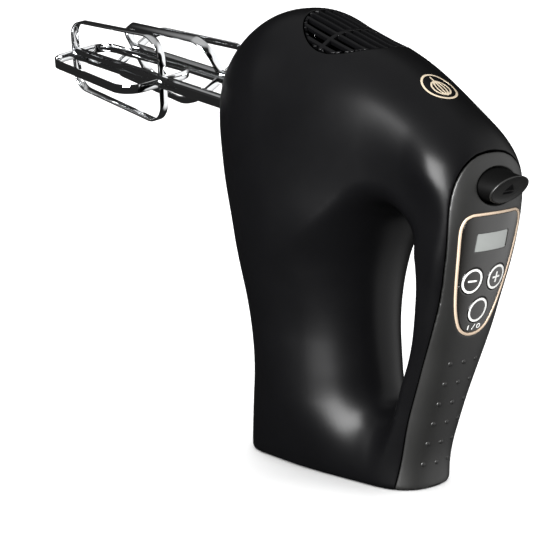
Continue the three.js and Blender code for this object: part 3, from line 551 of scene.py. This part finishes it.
BOARD = material("board", (0.02, 0.12, 0.06), 0.4, vary=0.05, grain=0.3, coat_weight=0.3)
# Painted shade: the eject button's neck is near black and almost without gloss, darker and duller than
# the cap's grip plastic, standing in for the shade under the cap's overhang.
SHADED_NECK = material("button_neck_painted_shade", (0.001, 0.001, 0.001), 0.62, vary=0.04, grain=0.3,
                grain_scale=2200, specular_ior_level=0.05)
RUBBER = material("rubber", (0.016, 0.016, 0.016), 0.62, vary=0.05, grain=0.4)
WHITE_INK = material("white_ink", (0.56, 0.56, 0.545), 0.45, vary=0.05, tone=0.03, grain=0.1)
BEIGE_INK = material("beige_ink", (0.50, 0.42, 0.31), 0.35, metallic=0.35, vary=0.05, tone=0.05)

SLOT_MATERIALS = {
    "black_plastic": BLACK, "grip_plastic": GRIP, "panel_gloss": PANEL, "rose_trim": ROSE,
    "display": LENS, "chrome": CHROME, "steel": STEEL, "lamination": LAMINATION,
    "copper": COPPER, "bronze": BRONZE, "nylon": NYLON, "gearbox_plastic": GEARBOX,
    "carbon": CARBON, "board": BOARD, "rubber": RUBBER,
}
for entry in frame["record"]["subparts"]:
    node = frame["nodes"][entry["node"]]
    node.data.materials.clear()
    node.data.materials.append(SLOT_MATERIALS[entry["material_slot"]])
    node.data.shade_smooth()
    node.data.set_sharp_from_angle(angle=math.radians(32))

# ---------------------------------------------------------------- layout of the grip face

FACE_X, FACE_SLOPE = 67.05, 0.27
KEY_R = 6.1
KEYS = {"minus": (-7.6, 99.7), "plus": (7.6, 99.7), "power": (0.0, 85.7)}
LCD_Z, LCD_HALF = 116.6, (9.7, 4.0)
LABEL_Z = 77.8
PANEL_SIDE = [
    (4.7, 74.4), (9, 77.3), (12.1, 82.5), (14.6, 90), (16.8, 101), (18.5, 114), (19.1, 121.5),
    (18.8, 125.2), (17.3, 128.2), (14.6, 129.7), (11.4, 130.1),
]
PANEL_POINTS = [(0, 73.6), *PANEL_SIDE, (0, 130.1), *[(-y, z) for y, z in PANEL_SIDE[::-1]]]
panel_curve = spline(PANEL_POINTS, 6)
TRIM_W = 1.5  # kept free for the trim between the grip cover and the plate

cos_face = 1 / math.hypot(1, FACE_SLOPE)
FACE_UP = np.array([FACE_SLOPE * cos_face, 0, cos_face])


def face_point(y, z):
    return np.array([FACE_X + FACE_SLOPE * (z - KEYS["power"][1]), y, z])


def on_face(p, y, z):
    """Coordinates of points across and up the grip face, from the face point (y, z)."""
    return p[:, 1] - y, (p - face_point(y, z)) @ FACE_UP


def in_panel(p):
    return inside_distance(panel_curve, p[:, 1], p[:, 2])


def in_key(name, radius):
    y, z = KEYS[name]

    def function(p):
        a, b = on_face(p, y, z)
        return radius - np.hypot(a, b)

    return function


def rounded_box(a, b, half_a, half_b, radius):
    """Distance inside a rectangle with rounded corners."""
    qa, qb = np.abs(a) - half_a + radius, np.abs(b) - half_b + radius
    outside = np.hypot(np.maximum(qa, 0), np.maximum(qb, 0))
    return radius - outside - np.minimum(np.maximum(qa, qb), 0)


def in_lcd(grow):
    def function(p):
        a, b = on_face(p, 0, LCD_Z)
        return rounded_box(a, b, LCD_HALF[0] + grow, LCD_HALF[1] + grow, 0.8)

    return function


DRIVE_TILT = math.radians(7.8)
DRIVE_CENTRE = np.array([-18.0, 0.0, 156.8])
DRIVE_U = np.array([math.sin(DRIVE_TILT), 0, math.cos(DRIVE_TILT)])
DRIVE_Y = np.array([0.0, 1.0, 0.0])
DRIVE_W = np.array([-math.cos(DRIVE_TILT), 0, math.sin(DRIVE_TILT)])
SPINDLE_Y = 19.4
EJECT_U, EJECT_HALF = -3.0, (6.8, 11.2)
EJECT_FACE_W, EJECT_SLANT = -103.1, math.tan(math.radians(25.8))


def in_drive(p):
    """Coordinates of points up the motor shaft, across, and out along the beaters."""
    d = p - DRIVE_CENTRE
    return d @ DRIVE_U, d @ DRIVE_Y, d @ DRIVE_W


def from_drive(u, y, w):
    return DRIVE_CENTRE + np.outer(u, DRIVE_U) + np.outer(y, DRIVE_Y) + np.outer(w, DRIVE_W)


def in_eject(grow):
    def function(p):
        u, y, w = in_drive(p)
        u = u - EJECT_U
        a, b = EJECT_HALF[0] + grow, EJECT_HALF[1] + grow
        k = np.hypot(u / a, y / b)
        value = (1 - k) * np.hypot(u, y) / np.maximum(k, 1e-6)
        return np.where(w < -60, value, -20.0)

    return function


VENT_X, VENT_HALF = -8.5, (22.5, 24.5)


def in_vent(grow):
    def function(p):
        a, b = VENT_HALF[0] + grow, VENT_HALF[1] + grow
        dx = p[:, 0] - VENT_X
        k = np.hypot(dx / a, p[:, 1] / b)
        slope = np.hypot(dx / a**2, p[:, 1] / b**2) / np.maximum(k, 1e-6)
        return np.where(p[:, 2] > 150, (1 - k) / np.maximum(slope, 1e-3), -20.0)

    return function


# ---------------------------------------------------------------- housing, cover and grip

SEAM_GAP = 0.1
HOUSING_EDGE, COVER_EDGE, GRIP_EDGE = 0.3, 0.35, 0.6
SHELL_DEPTH, COVER_DEPTH = 1.7, 4.5
LIP_START, LIP_END, LIP_SINK, LIP_THICKNESS = -0.35, 2.4, 1.75, 0.5
VENT_GAP, PANEL_GAP, EJECT_GAP = 0.6, 0.3, 1.9
body_vertices, body_triangles = surface_net()


def seam_function(line, side, inset):
    """Distance from a parting line, positive on one side of it and inset from it."""

    def function(p):
        x, z = p[:, 0], p[:, 2]
        tilt = line(z + 0.5) - line(z - 0.5)
        return side * (x - line(z)) / np.sqrt(1 + tilt**2) - inset

    return function


def housing():
    """The shell, with a lip inside its edge that closes the line between it and the cover."""
    inset = SEAM_GAP + HOUSING_EDGE
    lip_v, lip_t = keep(body_vertices, body_triangles, seam_function(cover_x, 1, LIP_START), 0.3)
    lip_v, lip_t = keep(lip_v, lip_t, lambda p: LIP_END - seam_function(cover_x, 1, 0)(p), 0.3)
    lip, lip_faces = shell(lip_v, lip_t, [(0, LIP_THICKNESS)], lift=-LIP_SINK)
    v, t = keep(body_vertices, body_triangles, seam_function(grip_x, -1, inset))
    v, t = keep(v, t, seam_function(cover_x, 1, inset))
    v, t = keep(v, t, lambda p: -in_vent(VENT_GAP)(p))
    points, faces = shell(v, t, arc_profile(HOUSING_EDGE, SHELL_DEPTH))
    faces += [tuple(int(i) + len(points) for i in face) for face in lip_faces]
    points = np.concatenate([points, lip])
    piece("housing_shell", points, faces, "housing", BLACK, ["upper_housing"])


SCREWS, SCREW_HOLE_R = [(15, 22), (-15, 22), (17, 112), (-17, 112)], 3.75
SPINDLE_HOLE_R = 6.5
GLAND_Z, GLAND_HOLE_R = 14, 5.6


def cover():
    v, t = keep(body_vertices, body_triangles, seam_function(cover_x, -1, SEAM_GAP + COVER_EDGE))

    def away(p):
        u, y, w = in_drive(p)
        holes = [np.hypot(p[:, 1] - a, p[:, 2] - b) - SCREW_HOLE_R for a, b in SCREWS]
        for spindle in (-SPINDLE_Y, SPINDLE_Y):
            holes.append(np.where(w > 0, np.hypot(u, y - spindle) - SPINDLE_HOLE_R, 20.0))
        holes.append(np.hypot(p[:, 1], p[:, 2] - GLAND_Z) - GLAND_HOLE_R)
        return np.min(holes, axis=0)

    v, t = keep(v, t, away)
    points, faces = shell(v, t, arc_profile(COVER_EDGE, COVER_DEPTH))
    piece("cover_shell", points, faces, "housing", BLACK, ["underside_cover"])


def grip():
    inset = SEAM_GAP + GRIP_EDGE
    v, t = keep(body_vertices, body_triangles, seam_function(grip_x, 1, inset))
    v, t = keep(v, t, lambda p: -in_eject(EJECT_GAP)(p))
    v, t = keep(v, t, lambda p: np.where(p[:, 0] > 58, -in_panel(p) - PANEL_GAP, 20.0))
    points, faces = shell(v, t, arc_profile(GRIP_EDGE, SHELL_DEPTH))
    piece("grip_shell", points, faces, "housing", GRIP, ["grip_cover"])


housing()
cover()
grip()


DOT_ROWS = np.linspace((59.5, 61.3), (45.2, 12.0), 6)  # x and z
DOT_COLUMNS = (-8.1, 0.0, 8.1)
DOT_RINGS = ((1.25, -0.3), (1.2, 0.02), (1.0, 0.26), (0.6, 0.42))  # radius and height


def grip_dots():
    """Small domes in three columns down the lower grip."""
    points, faces = [], []
    for x, z in DOT_ROWS:
        for y in DOT_COLUMNS:
            p = project(np.array([[x, y, z]]), 6)
            _, n = to_surface(p)
            n, p = n[0], p[0]
            a = np.cross(n, [0, 1, 0])
            a /= np.linalg.norm(a)
            b = np.cross(n, a)
            start, sides = len(points), 16
            for radius, height in DOT_RINGS:
                for k in range(sides):
                    angle = 2 * math.pi * k / sides
                    points.append(p + radius * (a * math.cos(angle) + b * math.sin(angle))
                                  + n * height)
            points.append(p + n * 0.48)
            points.append(p - n * 0.3)
            top, bottom = len(points) - 2, len(points) - 1
            for k in range(sides):
                m = (k + 1) % sides
                for ring in range(3):
                    r0, r1 = start + ring * sides, start + (ring + 1) * sides
                    faces.append((r0 + k, r1 + k, r1 + m, r0 + m))
                faces.append((start + 3 * sides + k, top, start + 3 * sides + m))
                faces.append((start + m, bottom, start + k))
    piece("grip_dots", points, faces, "housing", GRIP)


grip_dots()

# ---------------------------------------------------------------- controls

INK = [(0.02, 0.08)]  # edge of a printed mark: how far it spreads, and how deep it goes
face_v, face_t = patch((0, 102), (20, 29.5), 0.55, 0)


def trim_ring():
    """A thin bar with a rounded top, bent along the edge of the panel."""
    curve = spline(PANEL_POINTS, 10)
    along = np.roll(curve, -1, axis=0) - np.roll(curve, 1, axis=0)
    along /= np.linalg.norm(along, axis=1)[:, None]
    inward = np.stack([-along[:, 1], along[:, 0]], 1)
    section = [(0.15, -1.1), (0.15, -0.02), (0.22, 0.14), (0.4, 0.25), (0.65, 0.3), (0.85, 0.3),
               (1.1, 0.25), (1.28, 0.14), (1.35, -0.02), (1.35, -1.1)]
    rows = []
    for offset, height in section:
        y, z = (curve + inward * offset).T
        p = on_body(near_grip(y, z), 0)
        rows.append(p + to_surface(p)[1] * height)
    count, n = len(curve), len(section)
    faces = [(i * count + k, i * count + (k + 1) % count,
              (i + 1) % n * count + (k + 1) % count, (i + 1) % n * count + k)
             for i in range(n) for k in range(count)]
    piece("panel_trim_ring", np.concatenate(rows), faces, "housing", ROSE,
          ["panel_trim"])


def control_plates():
    def plate(p):
        holes = [-in_key(name, KEY_R + 0.4)(p) for name in KEYS] + [-in_lcd(0.35)(p)]
        return np.minimum(in_panel(p) - TRIM_W - 0.25, np.min(holes, axis=0))

    v, t = keep(face_v, face_t, plate, 0.15)
    points, faces = shell(v, t, arc_profile(0.2, 1.0), lift=-0.1)
    piece("panel_plate", points, faces, "housing", PANEL, ["control_panel"])
    v, t = keep(face_v, face_t, in_lcd(0), 0.15)
    points, faces = shell(v, t, arc_profile(0.15, 0.8), lift=-0.3)
    piece("lcd_window", points, faces, "housing", LENS, ["lcd_display"])


trim_ring()
control_plates()


def segment(a, b, start, end, radius):
    """Distance inside a bar with round ends."""
    (x0, y0), (x1, y1) = start, end
    dx, dy = x1 - x0, y1 - y0
    t = np.clip(((a - x0) * dx + (b - y0) * dy) / max(dx * dx + dy * dy, 1e-9), 0, 1)
    return radius - np.hypot(a - x0 - t * dx, b - y0 - t * dy)


def keys():
    for name, (y, z) in KEYS.items():
        v, t = patch((y, z), (KEY_R + 0.8, KEY_R + 0.8), 0.4, 0)
        v, t = keep(v, t, in_key(name, KEY_R - 0.3), 0.1)
        points, faces = shell(v, t, arc_profile(0.25, 2.2), lift=0.0)
        piece(f"key_{name}_cap", points, faces, f"key_{name}", PANEL,
              [f"button_{name}"])

        def marks(p, name=name, y=y, z=z):
            a, b = on_face(p, y, z)
            r = np.hypot(a, b)
            ring = 0.5 - np.abs(r - (KEY_R - 0.95))
            if name == "power":
                return ring
            sign = rounded_box(a, b, 2.5, 0.42, 0.1)
            if name == "plus":
                sign = np.maximum(sign, rounded_box(a, b, 0.42, 2.5, 0.1))
            return np.maximum(ring, sign)

        v, t = patch((y, z), (KEY_R, KEY_R), 0.28, 0)
        v, t = keep(v, t, marks, 0.08)
        points, faces = shell(v, t, INK, lift=0.04)
        piece(f"key_{name}_print", points, faces, f"key_{name}", WHITE_INK)


keys()


def label():
    """On and off marks, a bar and a ring with a stroke between them, under the power key."""

    def marks(p):
        a, b = on_face(p, 0, LABEL_Z)
        bar = rounded_box(a + 3.4, b, 0.26, 1.1, 0.05)
        stroke = segment(a, b, (-0.8, -1.2), (0.7, 1.2), 0.2)
        ring = 0.24 - np.abs(np.hypot(a - 3.2, b) - 0.95)
        return np.maximum(np.maximum(bar, stroke), ring)

    v, t = patch((0, LABEL_Z), (5.2, 2.2), 0.16, 0)
    v, t = keep(v, t, marks, 0.05)
    points, faces = shell(v, t, INK, lift=-0.06)
    piece("power_label", points, faces, "housing", WHITE_INK)


label()


BADGE_X, BADGE_R = 42.6, 8.4
TOP_SLOPE = 1.21  # length along the top for each mm of X at the mark


def badge():
    """A generic printed mark on top: a ring round two crossed loops of a beater."""

    def marks(p):
        a, b = p[:, 1], (p[:, 0] - BADGE_X) * TOP_SLOPE
        ring = 0.5 - np.abs(np.hypot(a, b) - BADGE_R)
        k = np.hypot(a / 2.2, (b - 1.2) / 4.6)
        narrow = 0.4 - np.abs(k - 1) * 2.6
        k = np.hypot(a / 4.6, (b - 1.2) / 4.6)
        wide = 0.4 - np.abs(k - 1) * 4.4
        stem = segment(a, b, (0, 5.6), (0, -6.6), 0.4)
        return np.max([ring, narrow, wide, stem], axis=0)

    v, t = patch((BADGE_X, 0), (8.4, 10.2), 0.24, 2)
    v, t = keep(v, t, marks, 0.06)
    points, faces = shell(v, t, INK, lift=0.04)
    piece("printed_mark", points, faces, "housing", BEIGE_INK)


badge()

# ---------------------------------------------------------------- vent grille

SLOT_PITCH, SLOT_HALF = 4.9, 1.72
RIM_W, RIB_X, RIB_HALF = 1.3, -7.5, 0.9
BAR_EDGE, BAR_DEPTH = 0.42, 2.2


def grille():
    def bars(p):
        x, y = p[:, 0], p[:, 1]
        offset = np.abs(y - SLOT_PITCH * np.round(y / SLOT_PITCH))
        across = offset - SLOT_HALF
        rim = RIM_W - in_vent(0)(p)
        rib = RIB_HALF - np.abs(x - RIB_X)
        solid = np.maximum(np.maximum(across, rim), rib)
        return np.minimum(in_vent(-0.35)(p), solid) - 0.3

    v, t = patch((VENT_X, 0), (VENT_HALF[0] + 0.5, VENT_HALF[1] + 0.5), 0.5, 2)
    v, t = keep(v, t, bars, 0.15)

    def sink(p):
        """Height of the bars, which bow down a little from the edge of the oval."""
        depth = np.clip(in_vent(0)(p), 0, 5) / 5
        return -0.15 - 0.45 * depth

    points, faces = shell(v, t, arc_profile(BAR_EDGE, BAR_DEPTH), dome=sink)
    piece("vent_bars", points, faces, "housing", BLACK, ["vent_grille"])


grille()

# ---------------------------------------------------------------- eject button


def oval_piece(rings, sides=72):
    """A closed oval piece along w. Each ring is (share of the half widths, w, slanted or not)."""
    angles = 2 * np.pi * np.arange(sides) / sides
    points, faces = [], []
    for share, w, slant in rings:
        u, y = EJECT_HALF[0] * share * np.cos(angles), EJECT_HALF[1] * share * np.sin(angles)
        points.append(from_drive(EJECT_U + u, y, w - slant * EJECT_SLANT * u))
    count = len(rings)
    for i in range(count - 1):
        for k in range(sides):
            m = (k + 1) % sides
            faces.append((i * sides + k, i * sides + m, (i + 1) * sides + m, (i + 1) * sides + k))
    faces.append(tuple(reversed(range(sides))))
    faces.append(tuple((count - 1) * sides + k for k in range(sides)))
    return np.concatenate(points), faces


def eject_button():
    w = EJECT_FACE_W
    neck = [(0.9, w + 1.0, 1), (0.955, w + 1.0, 1), (0.965, w + 1.3, 1), (1.0, w + 5, 0.5),
            (1.07, w + 9, 0), (1.07, -80, 0)]
    points, faces = oval_piece(neck)
    # The neck's near-black, dull material is painted shade under the cap.
    piece("eject_neck", points, faces, "ejector", SHADED_NECK)
    cap = [(0.04, w + 0.4, 1), (0.5, w + 0.32, 1), (0.86, w + 0.12, 1), (0.9, w, 1),
           (0.96, w - 0.05, 1), (0.99, w + 0.1, 1), (1.0, w + 0.35, 1), (1.0, w + 0.7, 1),
           (0.985, w + 0.95, 1), (0.5, w + 0.98, 1)]
    points, faces = oval_piece(cap)
    piece("eject_cap", points, faces, "ejector", GRIP, ["eject_button"])


eject_button()


def eject_symbol():
    """A raised arrowhead over a bar, on the button's slanted face."""
    points, faces = [], []
    for outline in (((-0.3, -2.9), (-0.3, 2.9), (2.6, 0)),
                    ((-2.0, -2.9), (-2.0, 2.9), (-1.1, 2.9), (-1.1, -2.9))):
        n, start = len(outline), len(points)
        middle = np.mean(outline, axis=0)
        for share, lift in ((1.0, 0.5), (1.0, 0.16), (0.93, 0.08)):
            ring = middle + (np.array(outline) - middle) * share
            for u, y in ring:
                points.append(from_drive([EJECT_U + u], [y],
                                         EJECT_FACE_W + lift - EJECT_SLANT * u)[0])
        for i in (0, 1):
            for k in range(n):
                m = (k + 1) % n
                a, b = start + i * n, start + (i + 1) * n
                faces.append((a + k, a + m, b + m, b + k))
        faces.append(tuple(start + k for k in range(n))[::-1])
        faces.append(tuple(start + 2 * n + k for k in range(n)))
    piece("eject_symbol", points, faces, "ejector", BLACK, sharp=20)


eject_symbol()

# ---------------------------------------------------------------- beaters

SHAFT_R = 3.4
LOOP_START, LOOP_LENGTH, LOOP_CROSSING = 106.6, 72.2, 1.2
LOOP_NEAR, LOOP_FAR = 22.0, 18.3  # radii at the two ends
CORNER_NEAR, CORNER_FAR = 11, 9
STRIP_T, STRIP_W = 0.9, 4.7
TURNS = {"left": -10.0, "right": 55.0}


def loop_path(far_end):
    """One strip loop as (w, radius) points, from the shaft round to the shaft again."""

    def corner(cw, cr, radius, start, end, steps=12):
        angles = np.radians(np.linspace(start, end, steps + 1))
        return [(cw + radius * math.cos(a), cr + radius * math.sin(a)) for a in angles]

    half = [(LOOP_START, SHAFT_R + 0.05), (LOOP_START, SHAFT_R + 2)]
    half += corner(LOOP_START + CORNER_NEAR, LOOP_NEAR - CORNER_NEAR, CORNER_NEAR, 180, 92)
    half += corner(far_end - CORNER_FAR, LOOP_FAR - CORNER_FAR, CORNER_FAR, 88, 0)
    half += [(far_end, 5.0), (far_end, 2.5)]
    return half + [(w, -r) for w, r in half[::-1]]


def band(far_end, angle):
    """A flat strip with eased edges bent along the loop, in drive coordinates (u, y, w)."""
    path = np.array(loop_path(far_end))
    ahead = np.vstack([path[1:], path[-1:]]) - np.vstack([path[:1], path[:-1]])
    ahead /= np.linalg.norm(ahead, axis=1)[:, None]
    normal = np.stack([-ahead[:, 1], ahead[:, 0]], 1)
    t, w, ease = STRIP_T / 2, STRIP_W / 2, 0.2
    section = [(t, -w + ease), (t, w - ease), (t - ease * 0.6, w - 0.05), (-t + ease * 0.6, w - 0.05),
               (-t, w - ease), (-t, -w + ease), (-t + ease * 0.6, -w + 0.05),
               (t - ease * 0.6, -w + 0.05)]
    points = []
    for (pw, pr), (nw, nr) in zip(path, normal):
        for off, side in section:
            across, along = pr + nr * off, pw + nw * off
            points.append((across, side, along))
    n = len(section)
    faces = []
    for i in range(len(path) - 1):
        for k in range(n):
            m = (k + 1) % n
            faces.append((i * n + k, i * n + m, (i + 1) * n + m, (i + 1) * n + k))
    faces.append(tuple(range(n))[::-1])
    faces.append(tuple((len(path) - 1) * n + k for k in range(n)))
    points = np.array(points)
    c, s = math.cos(angle), math.sin(angle)
    u = points[:, 0] * c - points[:, 1] * s
    y = points[:, 0] * s + points[:, 1] * c
    return u, y, points[:, 2], faces


def beater(side, sign):
    turn = math.radians(TURNS[side])
    far = LOOP_START + LOOP_LENGTH
    for letter, end, extra in (("a", far, 0.0), ("b", far - LOOP_CROSSING, math.pi / 2)):
        u, y, w, faces = band(end, turn + extra)
        points = from_drive(u, y + sign * SPINDLE_Y, w)
        piece(f"beater_{side}_band_{letter}", points, faces, f"beater_{side}", CHROME,
              [f"beater_{side}_loop_{letter}"], sharp=50)


for beater_side, beater_sign in (("left", -1), ("right", 1)):
    beater(beater_side, beater_sign)

# ---------------------------------------------------------------- stage and light

FLOOR_HALF = 6.0
SKY, WALL, ROOM = 0.5, 1.1, 0.02  # brightness overhead, of the wall, and of the rest
SOFTBOX = {"location": (0.37, -1.02, 0.50), "target": (0, 0, 0.13), "size": (0.70, 1.0), "power": 78}
FLOOR_LIGHT = {"location": (-2, 2, 3), "target": (-2, 2, 0), "size": (14, 14), "power": 1150}


def stage():
    mesh = bpy.data.meshes.new("floor")
    h = FLOOR_HALF
    mesh.from_pydata([(-h, -h, 0), (h, -h, 0), (h, h, 0), (-h, h, 0)], [], [(0, 1, 2, 3)])
    floor = bpy.data.objects.new("floor", mesh)
    bpy.context.scene.collection.objects.link(floor)
    mesh.materials.append(material("floor", (0.89, 0.89, 0.89), 0.7, tone=0.01))
    floor.visible_glossy = False


def area_light(name, location, target, size, power, state):
    """An area light that the camera can't see, with the floor left out of it or lit alone."""
    data = bpy.data.lights.new(name, "AREA")
    data.shape = "RECTANGLE"
    data.size, data.size_y = size
    data.energy = power
    light = bpy.data.objects.new(name, data)
    light.location = location
    direction = Vector(target) - Vector(location)
    light.rotation_mode = "QUATERNION"
    light.rotation_quaternion = direction.to_track_quat("-Z", "Y")
    light.visible_camera = False
    bpy.context.scene.collection.objects.link(light)
    receivers = bpy.data.collections.new(f"{name}_receivers")
    receivers.objects.link(bpy.data.objects["floor"])
    light.light_linking.receiver_collection = receivers
    receivers.collection_objects[0].light_linking.link_state = state


def light():
    """A softbox on the left, a light for the floor alone, and a dim room with a pale wall.

    The room is what the gloss and the chrome reflect: bright overhead and on the right."""
    world = bpy.data.worlds.new("world")
    bpy.context.scene.world = world
    world.use_nodes = True
    tree = world.node_tree
    new, join = tree.nodes.new, tree.links.new
    direction = new("ShaderNodeTexCoord").outputs["Generated"]

    def spread(value, low, high, top):
        node = new("ShaderNodeMapRange")
        node.interpolation_type = "SMOOTHSTEP"
        node.inputs["From Min"].default_value = low
        node.inputs["From Max"].default_value = high
        node.inputs["To Max"].default_value = top
        join(value, node.inputs["Value"])
        return node.outputs["Result"]

    def towards(azimuth, elevation):
        node = new("ShaderNodeVectorMath")
        node.operation = "DOT_PRODUCT"
        node.inputs[1].default_value = towards_view(azimuth, elevation)
        join(direction, node.inputs[0])
        return node.outputs["Value"]

    def total(*values):
        result = values[0]
        for value in values[1:]:
            node = new("ShaderNodeMath")
            join(result, node.inputs[0])
            join(value, node.inputs[1])
            result = node.outputs["Value"]
        return result

    sky = spread(towards(0, 90), 0.6, 0.9, SKY)
    wall = spread(towards(142, 5), 0.6, 0.9, WALL)
    room = total(sky, wall)
    strength = new("ShaderNodeMath")
    strength.inputs[1].default_value = ROOM
    join(room, strength.inputs[0])
    join(strength.outputs["Value"], tree.nodes["Background"].inputs["Strength"])
    tree.nodes["Background"].inputs["Color"].default_value = (1, 1, 1, 1)
    area_light("softbox", **SOFTBOX, state="EXCLUDE")
    area_light("floor_light", **FLOOR_LIGHT, state="INCLUDE")
    bpy.context.scene.view_settings.view_transform = "Standard"


stage()
light()
